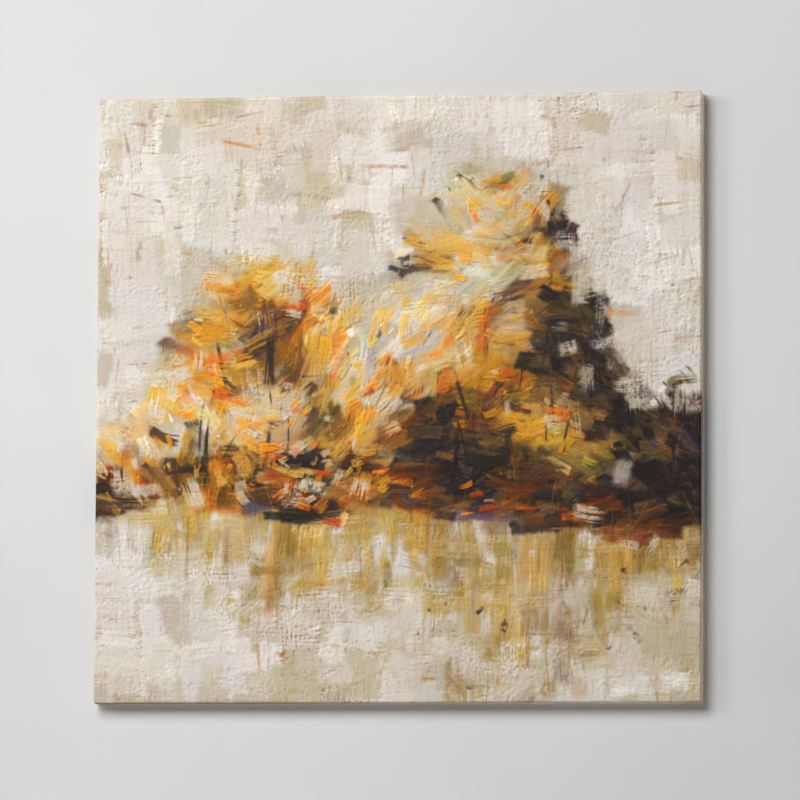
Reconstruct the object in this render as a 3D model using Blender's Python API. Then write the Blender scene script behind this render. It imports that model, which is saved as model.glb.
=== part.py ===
"""A square stretched canvas picture with deep wrapped sides, as it hangs on a wall.

Metres, +Z up. The painted face looks along -Y and the wall is the plane y = 0. The origin
is the notch of the sawtooth hanger that the wall's nail carries, in the middle of the top
bar. Four mitred stretcher bars, a half-lapped cross brace and eight corner keys hold the
canvas, which goes round the sides and ends in a flap behind each bar.

A bar is modelled once, as the top one. Its own directions are t along it, u inwards from
its outer edge and y through its depth, and the others are that bar turned about the
middle of the picture.
"""

import math

import bmesh
import bpy
from mathutils import Matrix

# Driving dimensions
SIDE = 1.200  # width and height over the canvas
DEPTH = 0.038  # from the painted face to the back of the flaps
CANVAS = 0.0008  # primed and painted cotton
FLAP = 0.028  # canvas turned behind each bar
TOUCH = 0.0003  # gap between pieces that meet
EDGE_ROUND = 0.0015  # the canvas's outer edges, rounded by the bars' lips
ROUND_STEPS = 3

BAR_WIDTH = 0.045
LIP_WIDTH = 0.006  # the raised outer lip that holds the canvas off the bar
LIP_DROP = 0.002
BEVEL_DROP = 0.0055  # how far the inner edge stands back from the lip
CORNER_EASE = 0.001

BUMPER_RADIUS = 0.010
BUMPER_THICK = 0.003
BUMPER_INSET = 0.019  # from the picture's outer edges to the bumper's middle
BUMPER_EASE = 0.0004
BUMPER_SIDES = 32

# Depths in y: the wall is 0 and everything is in front of it
FLAP_BACK = -(BUMPER_THICK + TOUCH)
BAR_BACK = FLAP_BACK - CANVAS - TOUCH
FACE = FLAP_BACK - DEPTH
BAR_FRONT = FACE + CANVAS + TOUCH
HALF = SIDE / 2 - CANVAS - TOUCH  # half the length of a bar's outer edge
INNER = HALF - BAR_WIDTH  # half the width of the window between the bars

# The bridle joint, the key slots and the keys at each corner
TONGUE_SETBACK = 0.010  # from the bar's front to the tongue
TONGUE_THICK = 0.008
TONGUE = (BAR_FRONT + TONGUE_SETBACK, BAR_FRONT + TONGUE_SETBACK + TONGUE_THICK)
KEY_THICK = 0.004
KEY_CLEAR = 0.0035  # wood between the tongue and the first key
KEY_PITCH = 0.007  # from one key of a corner to the other, in depth
KEY_DEPTHS = {"level": TONGUE[1] + KEY_CLEAR, "upright": TONGUE[1] + KEY_CLEAR + KEY_PITCH}
KEY_TIP = 0.007
KEY_HEEL = 0.018
KEY_LENGTH = 0.040
KEY_SUNK = 0.013

# The cross brace
BRACE_WIDTH = 0.040
BRACE_THICK = 0.018
BRACE_SETBACK = 0.003  # how far it stands in from the bars' backs
BRACE_BACK = BAR_BACK - BRACE_SETBACK
BRACE_FRONT = BRACE_BACK - BRACE_THICK
TENON_LENGTH = 0.012
SHOULDER = 0.005  # of the tenon, front and back
TENON = (BRACE_FRONT + SHOULDER, BRACE_BACK - SHOULDER)
LAP = (BRACE_FRONT + BRACE_BACK) / 2

# The sawtooth hanger and its nails
TOOTH_PITCH = 0.004
TOOTH_DROP = 0.002
TEETH_REACH = 0.036  # the teeth run this far each way from the middle
BRIDGE_END = 0.038  # the strip stands off the bar as far as here
FOOT_START = 0.044
HANGER_REACH = 0.056
HANGER_ABOVE = 0.011  # metal above the notches
HANGER_THICK = 0.001
NAIL_AT = 0.050
NAIL_RADIUS = 0.0008
NAIL_HOLE = 0.0011
NAIL_HEAD = 0.0021
NAIL_HEAD_THICK = 0.0007
NAIL_HEAD_FLAT = 0.8  # the flat of the head as a share of its radius
NAIL_SIDES = 16
BORE_SIDES = 12
NAIL_LENGTH = 0.014
NAIL_POINT = 0.003

# The hanger lies on bare wood, just below the top flap
FLAP_TO_HANGER = 0.0015
PICTURE_TOP = HANGER_ABOVE + FLAP + FLAP_TO_HANGER
PICTURE_MIDDLE = PICTURE_TOP - SIDE / 2

PAST = 0.01  # how far a cutter runs past what it cuts


def material(name, colour, roughness, metallic=0.0):
    made = bpy.data.materials.new(name)
    made.use_nodes = True
    shader = made.node_tree.nodes["Principled BSDF"]
    shader.inputs["Base Color"].default_value = (*colour, 1.0)
    shader.inputs["Roughness"].default_value = roughness
    shader.inputs["Metallic"].default_value = metallic
    made.diffuse_color = (*colour, 1.0)
    return made


def place(name, mesh, finish, parent=None, matrix=None):
    """Makes one named object of a mesh, in its material, where matrix says."""
    piece = bpy.data.objects.new(name, mesh)
    bpy.context.scene.collection.objects.link(piece)
    if finish is not None:
        mesh.materials.clear()
        mesh.materials.append(finish)
    piece.parent = parent
    if matrix is not None:
        piece.matrix_local = matrix
    return piece


def mesh_of(name, bm):
    bmesh.ops.recalc_face_normals(bm, faces=bm.faces)
    mesh = bpy.data.meshes.new(name)
    bm.to_mesh(mesh)
    bm.free()
    return mesh


def add_block(bm, low, high):
    """Adds the box between two corners and returns its edges."""
    middle = [(a + b) / 2 for a, b in zip(low, high)]
    size = [b - a for a, b in zip(low, high)]
    matrix = Matrix.Translation(middle) @ Matrix.Diagonal((*size, 1.0))
    made = bmesh.ops.create_cube(bm, size=1.0, matrix=matrix)
    return list({edge for vert in made["verts"] for edge in vert.link_edges})


def blocks(name, *corners):
    bm = bmesh.new()
    for low, high in corners:
        add_block(bm, low, high)
    return mesh_of(name, bm)


def add_extrusion(bm, outline, shift):
    """Adds a prism: outline is its points in order, and shift the way it is extruded."""
    face = bm.faces.new([bm.verts.new(point) for point in outline])
    made = bmesh.ops.extrude_face_region(bm, geom=[face])
    verts = [part for part in made["geom"] if isinstance(part, bmesh.types.BMVert)]
    bmesh.ops.translate(bm, verts=verts, vec=shift)


def boolean(piece, mesh, operation):
    """Cuts or joins a mesh, given in the piece's own directions, with the piece."""
    tool = place(f"{piece.name}_{operation.lower()}", mesh, None, piece)
    tool.hide_render = True
    tool.display_type = "WIRE"
    modifier = piece.modifiers.new(operation.title(), "BOOLEAN")
    modifier.operation = operation
    modifier.solver = "EXACT"
    modifier.object = tool


# Stretcher bars

BAR_PROFILE = (  # u inwards from the outer edge, y
    (0.0, BAR_BACK - CORNER_EASE),
    (0.0, BAR_FRONT + CORNER_EASE),
    (CORNER_EASE, BAR_FRONT),
    (LIP_WIDTH - LIP_DROP, BAR_FRONT),
    (LIP_WIDTH, BAR_FRONT + LIP_DROP),
    (BAR_WIDTH - CORNER_EASE, BAR_FRONT + BEVEL_DROP),
    (BAR_WIDTH, BAR_FRONT + BEVEL_DROP + CORNER_EASE),
    (BAR_WIDTH, BAR_BACK - CORNER_EASE),
    (BAR_WIDTH - CORNER_EASE, BAR_BACK),
    (CORNER_EASE, BAR_BACK),
)


def bar_mesh(name):
    """A length of bar with both ends mitred, half a gap short of the mitre line."""
    short = TOUCH * math.sqrt(0.5)
    bm = bmesh.new()
    ends = []
    for side in (-1, 1):
        ring = [
            bm.verts.new((side * (HALF - short - u), y, HALF - u))
            for u, y in BAR_PROFILE
        ]
        bm.faces.new(ring)
        ends.append(ring)
    count = len(BAR_PROFILE)
    for i in range(count):
        after = (i + 1) % count
        bm.faces.new((ends[0][i], ends[0][after], ends[1][after], ends[1][i]))
    return mesh_of(name, bm)


def key_slots(key_y):
    """The pockets in a bar, one at each end, that take the tips of two keys."""
    width = KEY_TIP + (KEY_HEEL - KEY_TIP) * KEY_SUNK / KEY_LENGTH + 2 * TOUCH
    found = []
    for side in (-1, 1):
        near, far = side * (INNER - width), side * INNER
        low = (min(near, far), key_y - TOUCH, INNER - PAST)
        high = (max(near, far), key_y + KEY_THICK + TOUCH, INNER + KEY_SUNK)
        found.append((low, high))
    return found


def brace_mortise():
    reach = BRACE_WIDTH / 2 + TOUCH
    low = (-reach, TENON[0] - TOUCH, INNER - PAST)
    high = (reach, TENON[1] + TOUCH, INNER + TENON_LENGTH + TOUCH)
    return low, high


def tongue_slots():
    """The slot across each end of a level bar that an upright bar's tongue fills."""
    low_y, high_y = TONGUE[0] - TOUCH, TONGUE[1] + TOUCH
    start, stop = INNER - TOUCH, HALF + PAST
    low_z, high_z = INNER - PAST, HALF + PAST
    left = ((-stop, low_y, low_z), (-start, high_y, high_z))
    right = ((start, low_y, low_z), (stop, high_y, high_z))
    return [left, right]


def tongues():
    """The tongues of an upright bar, each rooted in the bar's mitred end."""
    ease = CORNER_EASE
    low_z, high_z = INNER + ease, HALF - ease
    root, tip = INNER - BAR_WIDTH, HALF - ease
    left = ((-tip, TONGUE[0], low_z), (-root, TONGUE[1], high_z))
    right = ((root, TONGUE[0], low_z), (tip, TONGUE[1], high_z))
    return [left, right]


def add_nail_bores(bm, depth_to):
    for side in (-1, 1):
        middle_z = HANGER_ABOVE / 2 - PICTURE_MIDDLE
        spot = Matrix.Translation((side * NAIL_AT, (depth_to + PAST) / 2, middle_z))
        bmesh.ops.create_cone(
            bm,
            cap_ends=True,
            segments=BORE_SIDES,
            radius1=NAIL_HOLE,
            radius2=NAIL_HOLE,
            depth=PAST - depth_to,
            matrix=spot @ Matrix.Rotation(math.pi / 2, 4, "X"),
        )


def stretcher_bars(middle, pine):
    """The four bars, each turned a quarter further round the picture's middle."""
    turns = {"top": 0, "right": 1, "bottom": 2, "left": 3}
    for name, quarter in turns.items():
        turn = Matrix.Rotation(quarter * math.pi / 2, 4, "Y")
        bar = place(f"bar_{name}", bar_mesh(f"bar_{name}"), pine, middle, turn)
        kind = "upright" if quarter % 2 else "level"
        cuts = [*key_slots(KEY_DEPTHS[kind]), brace_mortise()]
        if kind == "upright":
            boolean(bar, blocks("tongues", *tongues()), "UNION")
        else:
            cuts += tongue_slots()
        bm = bmesh.new()
        for low, high in cuts:
            add_block(bm, low, high)
        if name == "top":
            add_nail_bores(bm, -NAIL_LENGTH - TOUCH)
        boolean(bar, mesh_of("cuts", bm), "DIFFERENCE")


def corner_keys(middle, beech):
    """Two tapered keys to a corner, at two depths: each lies along one bar's inner edge
    and enters the slot of the other."""
    turns = {"top": 0, "right": 1, "bottom": 2, "left": 3}
    for name, quarter in turns.items():
        key_y = KEY_DEPTHS["upright" if quarter % 2 else "level"]
        turn = Matrix.Rotation(quarter * math.pi / 2, 4, "Y")
        for side, hand in ((-1, "a"), (1, "b")):
            straight = side * (INNER - TOUCH)
            tip_z = INNER + KEY_SUNK - TOUCH
            heel_z = tip_z - KEY_LENGTH
            outline = (
                (straight, key_y, tip_z),
                (straight, key_y, heel_z),
                (straight - side * KEY_HEEL, key_y, heel_z),
                (straight - side * KEY_TIP, key_y, tip_z),
            )
            bm = bmesh.new()
            add_extrusion(bm, outline, (0.0, KEY_THICK, 0.0))
            label = f"key_{name}_{hand}"
            place(label, mesh_of(label, bm), beech, middle, turn)


def cross_brace(middle, pine):
    """Two boards, half-lapped where they cross, with a tenon into a bar at each end."""
    end, tip = INNER - TOUCH, INNER + TENON_LENGTH
    half_lap = BRACE_WIDTH / 2 + TOUCH

    def outline(lap_side):
        """One board's edge, as points in y and along the board."""
        far_front = [(BRACE_FRONT, -end), (BRACE_FRONT, end)]
        far_back = [(BRACE_BACK, end), (BRACE_BACK, -end)]
        if lap_side == "front":
            lap_y = LAP + TOUCH / 2
            notch = [(BRACE_FRONT, -half_lap), (lap_y, -half_lap)]
            notch += [(lap_y, half_lap), (BRACE_FRONT, half_lap)]
            far_front[1:1] = notch
        else:
            lap_y = LAP - TOUCH / 2
            notch = [(BRACE_BACK, half_lap), (lap_y, half_lap)]
            notch += [(lap_y, -half_lap), (BRACE_BACK, -half_lap)]
            far_back[1:1] = notch
        tenon_up = [(TENON[0], end), (TENON[0], tip), (TENON[1], tip), (TENON[1], end)]
        tenon_down = [(y, -along) for y, along in reversed(tenon_up)]
        return far_front + tenon_up + far_back + tenon_down

    boards = {"brace_upright": ("front", 0.0), "brace_level": ("back", math.pi / 2)}
    for name, (lap_side, angle) in boards.items():
        bm = bmesh.new()
        points = [(-BRACE_WIDTH / 2, y, along) for y, along in outline(lap_side)]
        add_extrusion(bm, points, (BRACE_WIDTH, 0.0, 0.0))
        turn = Matrix.Rotation(angle, 4, "Y")
        place(name, mesh_of(name, bm), pine, middle, turn)


# Canvas


def rounded_block(name, low, high, radius):
    bm = bmesh.new()
    edges = add_block(bm, low, high)
    bmesh.ops.bevel(
        bm, geom=edges, offset=radius, segments=ROUND_STEPS, affect="EDGES", profile=0.5
    )
    return mesh_of(name, bm)


def stretched_canvas(middle, cotton):
    """One skin over the bars: a face, four sides and a flap behind each bar."""
    out, inside, window = SIDE / 2, SIDE / 2 - CANVAS, SIDE / 2 - FLAP
    skin = rounded_block(
        "canvas", (-out, FACE, -out), (out, FLAP_BACK, out), EDGE_ROUND
    )
    canvas = place("canvas", skin, cotton, middle)
    hollow = rounded_block(
        "hollow",
        (-inside, FACE + CANVAS, -inside),
        (inside, FLAP_BACK - CANVAS, inside),
        EDGE_ROUND - CANVAS,
    )
    boolean(canvas, hollow, "DIFFERENCE")
    opening = blocks(
        "window", ((-window, BAR_BACK - PAST, -window), (window, PAST, window))
    )
    boolean(canvas, opening, "DIFFERENCE")


# Hanger, nails and bumpers


def hanger_columns():
    """The strip's cross-sections from left to right: x, its lower edge and its back."""
    teeth = round(TEETH_REACH / TOOTH_PITCH)
    foot = BAR_BACK + TOUCH + HANGER_THICK
    right = [(BRIDGE_END, -TOOTH_DROP, 0.0)]
    right += [(FOOT_START, -TOOTH_DROP, foot), (HANGER_REACH, -TOOTH_DROP, foot)]
    middle = []
    for half_step in range(-2 * teeth, 2 * teeth + 1):
        lower = -TOOTH_DROP if half_step % 2 else 0.0
        middle.append((half_step * TOOTH_PITCH / 2, lower, 0.0))
    left = [(-x, lower, back) for x, lower, back in reversed(right)]
    return left + middle + right


def sawtooth_hanger(steel):
    bm = bmesh.new()
    rings = []
    for x, lower, back in hanger_columns():
        corners = ((back, lower), (back, HANGER_ABOVE))
        corners += ((back - HANGER_THICK, HANGER_ABOVE), (back - HANGER_THICK, lower))
        rings.append([bm.verts.new((x, y, z)) for y, z in corners])
    for near, far in zip(rings, rings[1:]):
        for i in range(4):
            after = (i + 1) % 4
            bm.faces.new((near[i], near[after], far[after], far[i]))
    bm.faces.new(rings[0])
    bm.faces.new(rings[-1])
    hanger = place("sawtooth_hanger", mesh_of("sawtooth_hanger", bm), steel)
    bores = bmesh.new()
    add_nail_bores(bores, BAR_BACK - PAST)
    shifted = mesh_of("bores", bores)
    shifted.transform(Matrix.Translation((0.0, 0.0, PICTURE_MIDDLE)))
    boolean(hanger, shifted, "DIFFERENCE")


def turned(name, profile, sides):
    """A solid turned about Y: profile is its points as radius and y, axis to axis."""
    bm = bmesh.new()
    chain = [bm.verts.new((radius, y, 0.0)) for radius, y in profile]
    edges = [bm.edges.new(pair) for pair in zip(chain, chain[1:])]
    bmesh.ops.spin(
        bm,
        geom=chain + edges,
        axis=(0.0, 1.0, 0.0),
        cent=(0.0, 0.0, 0.0),
        steps=sides,
        angle=2 * math.pi,
        use_merge=True,
    )
    bmesh.ops.remove_doubles(bm, verts=bm.verts, dist=1e-6)
    return mesh_of(name, bm)


def hanger_nails(steel):
    seat = BAR_BACK + TOUCH + HANGER_THICK + TOUCH
    top = seat + NAIL_HEAD_THICK
    tip = -NAIL_LENGTH
    profile = (
        (0.0, top),
        (NAIL_HEAD * NAIL_HEAD_FLAT, top),
        (NAIL_HEAD, seat + NAIL_HEAD_THICK / 2),
        (NAIL_HEAD, seat),
        (NAIL_RADIUS, seat),
        (NAIL_RADIUS, tip + NAIL_POINT),
        (0.0, tip),
    )
    for side, x in (("left", -NAIL_AT), ("right", NAIL_AT)):
        name = f"hanger_nail_{side}"
        spot = Matrix.Translation((x, 0.0, HANGER_ABOVE / 2))
        place(name, turned(name, profile, NAIL_SIDES), steel, None, spot)


def felt_bumpers(middle, felt):
    """Two round pads on the lower corners that keep the picture upright on the wall."""
    profile = (
        (0.0, 0.0),
        (BUMPER_RADIUS - BUMPER_EASE, 0.0),
        (BUMPER_RADIUS, -BUMPER_EASE),
        (BUMPER_RADIUS, -BUMPER_THICK),
        (0.0, -BUMPER_THICK),
    )
    reach = SIDE / 2 - BUMPER_INSET
    for side, x in (("left", -reach), ("right", reach)):
        name = f"bumper_{side}"
        spot = Matrix.Translation((x, 0.0, -reach))
        place(name, turned(name, profile, BUMPER_SIDES), felt, middle, spot)


def clear_scene():
    for old in list(bpy.data.objects):
        bpy.data.objects.remove(old)


def main():
    clear_scene()
    pine = material("pine", (0.62, 0.43, 0.24), 0.60)
    beech = material("key_wood", (0.55, 0.35, 0.19), 0.55)
    cotton = material("painted_canvas", (0.66, 0.58, 0.48), 0.70)
    steel = material("hanger_steel", (0.62, 0.61, 0.58), 0.35, 1.0)
    felt = material("felt", (0.05, 0.05, 0.055), 0.95)

    middle = bpy.data.objects.new("picture_middle", None)
    bpy.context.scene.collection.objects.link(middle)
    middle.location = (0.0, 0.0, PICTURE_MIDDLE)

    stretcher_bars(middle, pine)
    corner_keys(middle, beech)
    cross_brace(middle, pine)
    stretched_canvas(middle, cotton)
    sawtooth_hanger(steel)
    hanger_nails(steel)
    felt_bumpers(middle, felt)


main()
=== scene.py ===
import math

import bpy
import numpy as np
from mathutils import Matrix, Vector


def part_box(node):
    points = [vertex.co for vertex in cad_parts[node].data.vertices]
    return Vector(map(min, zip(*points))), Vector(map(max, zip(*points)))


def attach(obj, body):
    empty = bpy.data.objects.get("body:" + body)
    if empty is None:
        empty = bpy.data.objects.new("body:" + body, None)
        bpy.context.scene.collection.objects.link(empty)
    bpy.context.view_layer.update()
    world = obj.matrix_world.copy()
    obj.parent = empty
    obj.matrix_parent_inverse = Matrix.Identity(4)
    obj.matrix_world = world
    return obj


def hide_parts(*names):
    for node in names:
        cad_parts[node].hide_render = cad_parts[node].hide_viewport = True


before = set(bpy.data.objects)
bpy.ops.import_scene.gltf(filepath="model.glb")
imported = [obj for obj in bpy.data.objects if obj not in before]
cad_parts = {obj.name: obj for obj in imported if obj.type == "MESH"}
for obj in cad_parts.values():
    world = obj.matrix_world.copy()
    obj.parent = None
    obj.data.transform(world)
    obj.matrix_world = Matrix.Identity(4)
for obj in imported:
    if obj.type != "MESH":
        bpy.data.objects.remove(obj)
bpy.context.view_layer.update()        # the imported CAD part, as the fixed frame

# A stretched canvas picture as it hangs: a painted cotton sheet pulled round a braced pine frame.
# Metres, +Z up, the wall is y = 0 and the painted face looks along -Y.

LOW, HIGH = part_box("canvas")
HALF = round((HIGH.x - LOW.x) / 2, 4)  # half of the picture's side
MIDDLE = round((HIGH.z + LOW.z) / 2, 4)  # height of its middle, from the hanger's notch
FACE = round(LOW.y, 4)  # y of the canvas's front
BACK = round(HIGH.y, 4)  # y of the back of the flaps
DEPTH = BACK - FACE
FLAP = 0.028  # cloth turned in behind each bar
ROUND = 0.0026  # how sharply the cloth turns over the bars' edges
CLOTH_THICK = 0.0007
UNDER_PAINT = 0.0003  # how deep the cloth lies under the surface that the paint is laid on
PAINT_FILM = 0.00005  # the thinnest paint
PAINT_MOST = 1.6  # the thickest, in millimetres
STAPLE_PITCH = 0.056

# The painted cloth laid flat: the face and the four sides that wrap round the bars.
STEP = 0.0015  # between two paint samples
FACE_CELLS = 800
SIDE_CELLS = 26
CELLS = FACE_CELLS + 2 * SIDE_CELLS
SIZE = CELLS + 1
BOARD = CELLS * STEP
FINEST = 1.5  # half the narrowest stroke that can be drawn, in samples
BRISTLES = 512  # samples across the grid that the brushes' streaks are taken from
SCATTER = 4  # strokes are scattered over a grid this many samples coarse

SEED = 7
PAINT_SEED, CLOTH_SEED, STAPLE_SEED, THREAD_SEED, FELT_SEED = range(SEED, SEED + 5)


# Noise

def srgb(text):
    """A hex colour as three sRGB numbers."""
    return np.array([int(text[i:i + 2], 16) / 255 for i in (1, 3, 5)], np.float32)


def to_linear(colour):
    """sRGB numbers as linear ones."""
    colour = np.asarray(colour, np.float32)
    return np.where(colour <= 0.04045, colour / 12.92, ((colour + 0.055) / 1.055) ** 2.4)


def smooth(low, high, value):
    """0 up to low and 1 from high on, eased between. With low above high it falls instead."""
    share = np.clip((value - low) / (high - low), 0.0, 1.0)
    return share * share * (3 - 2 * share)


def cloud(rng, rows, columns, tall, wide):
    """Soft random patches from 0 to 1, each about tall by wide samples."""
    lattice = rng.random((int(rows / tall) + 3, int(columns / wide) + 3)).astype(np.float32)
    row = np.arange(rows, dtype=np.float32) / tall
    column = np.arange(columns, dtype=np.float32) / wide
    i, j = row.astype(int), column.astype(int)
    down = smooth(0, 1, row - i)[:, None]
    right = smooth(0, 1, column - j)[None, :]
    upper = lattice[i][:, j] * (1 - right) + lattice[i][:, j + 1] * right
    lower = lattice[i + 1][:, j] * (1 - right) + lattice[i + 1][:, j + 1] * right
    return upper * (1 - down) + lower * down


def clouds(rng, rows, columns, tall, wide, octaves):
    """Patches with smaller and fainter patches in them, each octave half the size."""
    total, weight = 0.0, 0.0
    for octave in range(octaves):
        share = 0.5 ** octave
        finer = cloud(rng, rows, columns, max(tall * share, 1.0), max(wide * share, 1.0))
        total = total + share * finer
        weight += share
    return total / weight


def board_clouds(rng, tall, wide, octaves):
    return clouds(rng, SIZE, SIZE, tall, wide, octaves)


def evened(field):
    """The same field with its values spread evenly round 0.5."""
    return np.clip((field - field.mean()) / (field.std() * 4) + 0.5, 0, 1)


def hill(offset, width):
    """1 at no offset, falling off to nothing over about twice the width."""
    return np.exp(-(offset / width) ** 2)


def blurred(field, reach):
    """The mean over a square of that many samples each way."""
    sums = np.pad(field, ((reach + 1, reach), (reach + 1, reach)), mode="edge").cumsum(0).cumsum(1)
    wide = 2 * reach + 1
    boxes = sums[wide:, wide:] - sums[:-wide, wide:] - sums[wide:, :-wide] + sums[:-wide, :-wide]
    return boxes / (wide * wide)


# Paint

def within(middle, reach):
    """The first sample within reach of the middle and the one after the last, on the board."""
    return max(0, int(middle - reach)), min(SIZE, int(middle + reach) + 2)


class Patch:
    """The samples that one stroke can reach, measured along it and across it."""

    def __init__(self, x, z, length, width, angle, bend):
        self.turn_x, self.turn_z = math.cos(angle), math.sin(angle)
        self.half_long, self.half_wide = length / 2 / STEP, max(width / 2 / STEP, FINEST)
        self.faint = min(1.0, width / 2 / STEP / FINEST) ** 0.5  # less for one drawn wider than it is
        self.middle_x, self.middle_z = x / STEP, z / STEP
        spare = abs(bend) * self.half_wide + 3
        reach_x = abs(self.half_long * self.turn_x) + abs(self.half_wide * self.turn_z) + spare
        reach_z = abs(self.half_long * self.turn_z) + abs(self.half_wide * self.turn_x) + spare
        self.left, self.right = within(self.middle_x, reach_x)
        self.low, self.high = within(self.middle_z, reach_z)
        self.missed = self.right - self.left < 2 or self.high - self.low < 2
        self.here = (slice(self.low, self.high), slice(self.left, self.right))
        off_x = np.arange(self.left, self.right, dtype=np.float32)[None, :] - self.middle_x
        off_z = np.arange(self.low, self.high, dtype=np.float32)[:, None] - self.middle_z
        self.along = off_x * self.turn_x + off_z * self.turn_z
        self.across = off_z * self.turn_x - off_x * self.turn_z
        self.u = self.along / self.half_long
        self.v = self.across / self.half_wide + bend * (self.u * self.u - 0.4)


class Board:
    """The cloth laid flat, as grids of colour, paint height in millimetres and gloss."""

    def __init__(self, rng):
        self.rng = rng
        self.colour = np.zeros((SIZE, SIZE, 3), np.float32)
        self.height = np.zeros((SIZE, SIZE), np.float32)
        self.gloss = np.zeros((SIZE, SIZE), np.float32)
        fine = clouds(rng, BRISTLES, BRISTLES, 1.6, 60, 2)
        coarse = clouds(rng, BRISTLES, BRISTLES, 6, 120, 2)
        self.bristles = evened(0.6 * fine + 0.4 * coarse)
        speckle = blurred(blurred(rng.random((SIZE, SIZE)), 1), 1).astype(np.float32)
        self.grain = evened(evened(speckle) + 0.7 * board_clouds(rng, 5.3, 4.7, 2))

    def glaze(self, share, text):
        """A clear coat of that hex colour over the paint, as strong at each sample as its share; it also
        lays painted shade.
        """
        share = share[..., None]
        self.colour = self.colour * (1 - share) + self.colour * srgb(text) * share

    def bristle_marks(self, along, across):
        """Streaks that follow the stroke, and how its edge wanders."""
        row, column = self.rng.integers(0, BRISTLES, 2)
        from_row = np.abs(across + row + BRISTLES)
        rows = from_row.astype(int)
        between = from_row - rows
        columns = np.abs(along * 0.8 + column + BRISTLES).astype(int) % BRISTLES
        streaks = self.bristles[rows % BRISTLES, columns] * (1 - between)
        streaks = streaks + self.bristles[(rows + 1) % BRISTLES, columns] * between
        edges = np.abs(along * 0.35 + row + BRISTLES).astype(int) % BRISTLES
        return streaks, self.bristles[edges, column]

    def stroke(self, x, z, length, width, angle, first, second, kind):
        """One stroke of a brush or knife with its middle at x, z, in the manner of kind."""
        patch = Patch(x, z, length, width, angle, self.rng.normal(0, kind["bend"]))
        if patch.missed:
            return
        streak, wander = self.bristle_marks(patch.along, patch.v * patch.half_wide)
        thick = kind["thick"] * self.rng.uniform(0.5, 1.4)
        cover = self.cover(patch, streak, wander, kind)
        laid = self.mixed(patch, streak, first, second, kind)
        share = cover[..., None]
        self.colour[patch.here] = self.colour[patch.here] * (1 - share) + laid * share
        self.pile_up(patch, streak, wander, thick, cover, kind)

    def cover(self, patch, streak, wander, kind):
        """How far the stroke hides what lies under it: less at its ragged sides and its far end,
        and where a dry brush skips the hollows."""
        rag, u = kind["rag"], patch.u
        sharp = min(0.80 - kind["soft"], 1 - FINEST / patch.half_wide)
        side = 1 - smooth(sharp, 1.0, np.abs(patch.v) + 0.25 * (wander - 0.5))
        start = smooth(-1.02, -0.94 + kind["soft"], u + 0.10 * (streak - 0.5))
        end = 1 - smooth(0.80 - kind["soft"], 1.0, u + 0.5 * rag * (streak - 0.5))
        left_over = self.rng.uniform(0.9, 1.5) - rag * (u + 1) * 0.5
        body = smooth(0.0, 0.28, left_over - (1 - streak) * rag)
        cover = side * start * end * body * patch.faint * kind["opacity"] * self.rng.uniform(0.8, 1.0)
        height = self.height[patch.here]
        catch = smooth(0.28, 0.72, self.grain[patch.here] + 0.8 * (height - height.mean()))
        dry = self.rng.uniform(0, kind["dry"])
        return cover * (1 - dry + dry * catch)

    def mixed(self, patch, streak, first, second, kind):
        """The stroke's two tints in streaks, smeared with the paint that it passes over."""
        under = self.colour[patch.here]
        tint = smooth(0.3, 0.7, streak)[..., None]
        laid = first * (1 - tint) + second * tint
        laid = laid * (1 - kind["smear"]) + under.mean((0, 1)) * kind["smear"]
        if kind["drag"] > 0:
            laid = laid * (1 - kind["drag"]) + self.dragged(patch) * kind["drag"]
        return laid

    def dragged(self, patch):
        """The old paint from near the stroke's start, pulled along the whole of it."""
        pull = (patch.along + patch.half_long) * 0.22 - patch.half_long * 0.95
        from_x = patch.middle_x + pull * patch.turn_x - patch.across * patch.turn_z - patch.left
        from_z = patch.middle_z + pull * patch.turn_z + patch.across * patch.turn_x - patch.low
        from_x = np.clip(from_x, 0, patch.right - patch.left - 1).astype(int)
        from_z = np.clip(from_z, 0, patch.high - patch.low - 1).astype(int)
        return self.colour[patch.here][from_z, from_x]

    def pile_up(self, patch, streak, wander, thick, cover, kind):
        """The stroke's relief: bristle marks, a ridge along each side and a bead at its end."""
        height = self.height[patch.here]
        rim = hill(np.abs(patch.v) - 0.86, 0.10) * (0.4 + 0.6 * wander)
        bead = hill(patch.u - 0.82, 0.09) * 0.3 * thick
        ridge = thick * kind["ridge"] * self.rng.uniform(0.2, 1.1)
        combed = thick * (0.7 + kind["comb"] * (streak - 0.5))
        top = 0.6 * height + 0.4 * height.mean() + combed
        self.height[patch.here] = height * (1 - cover) + (top + ridge * rim + bead) * cover
        gloss = self.gloss[patch.here]
        self.gloss[patch.here] = gloss * (1 - cover) + min(1.0, abs(thick) * 2.5) * cover


USUAL_STROKE = {
    "opacity": 0.95,
    "ridge": 1.0,  # how high the paint stands along its sides
    "comb": 0.8,  # how deep the bristles mark it
    "rag": 0.7,  # how much it breaks up towards its end
    "dry": 0.3,  # how much of it can miss the hollows
    "bend": 0.3,
    "smear": 0.2,  # how much of the paint under it is mixed in
    "drag": 0.0,  # how much of the paint before it is pulled along
    "soft": 0.1,  # how soft its edges are
}


def brush(length, share, thick, **more):
    """A kind of stroke: its length, its width as a share of that, and how thick it lies in mm."""
    return {**USUAL_STROKE, "length": length, "share": share, "thick": thick, **more}


def pick(rng, weights):
    """A hex colour drawn by weight."""
    names = list(weights)
    shares = np.array([weights[name] for name in names], float)
    return srgb(names[rng.choice(len(names), p=shares / shares.sum())])


def vary(rng, colour, value=0.03, hue=0.010):
    """Nearly the same colour, a little lighter or darker and a little off in hue."""
    return np.clip(colour * (1 + rng.normal(0, value)) + rng.normal(0, hue, 3), 0, 1)


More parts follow.
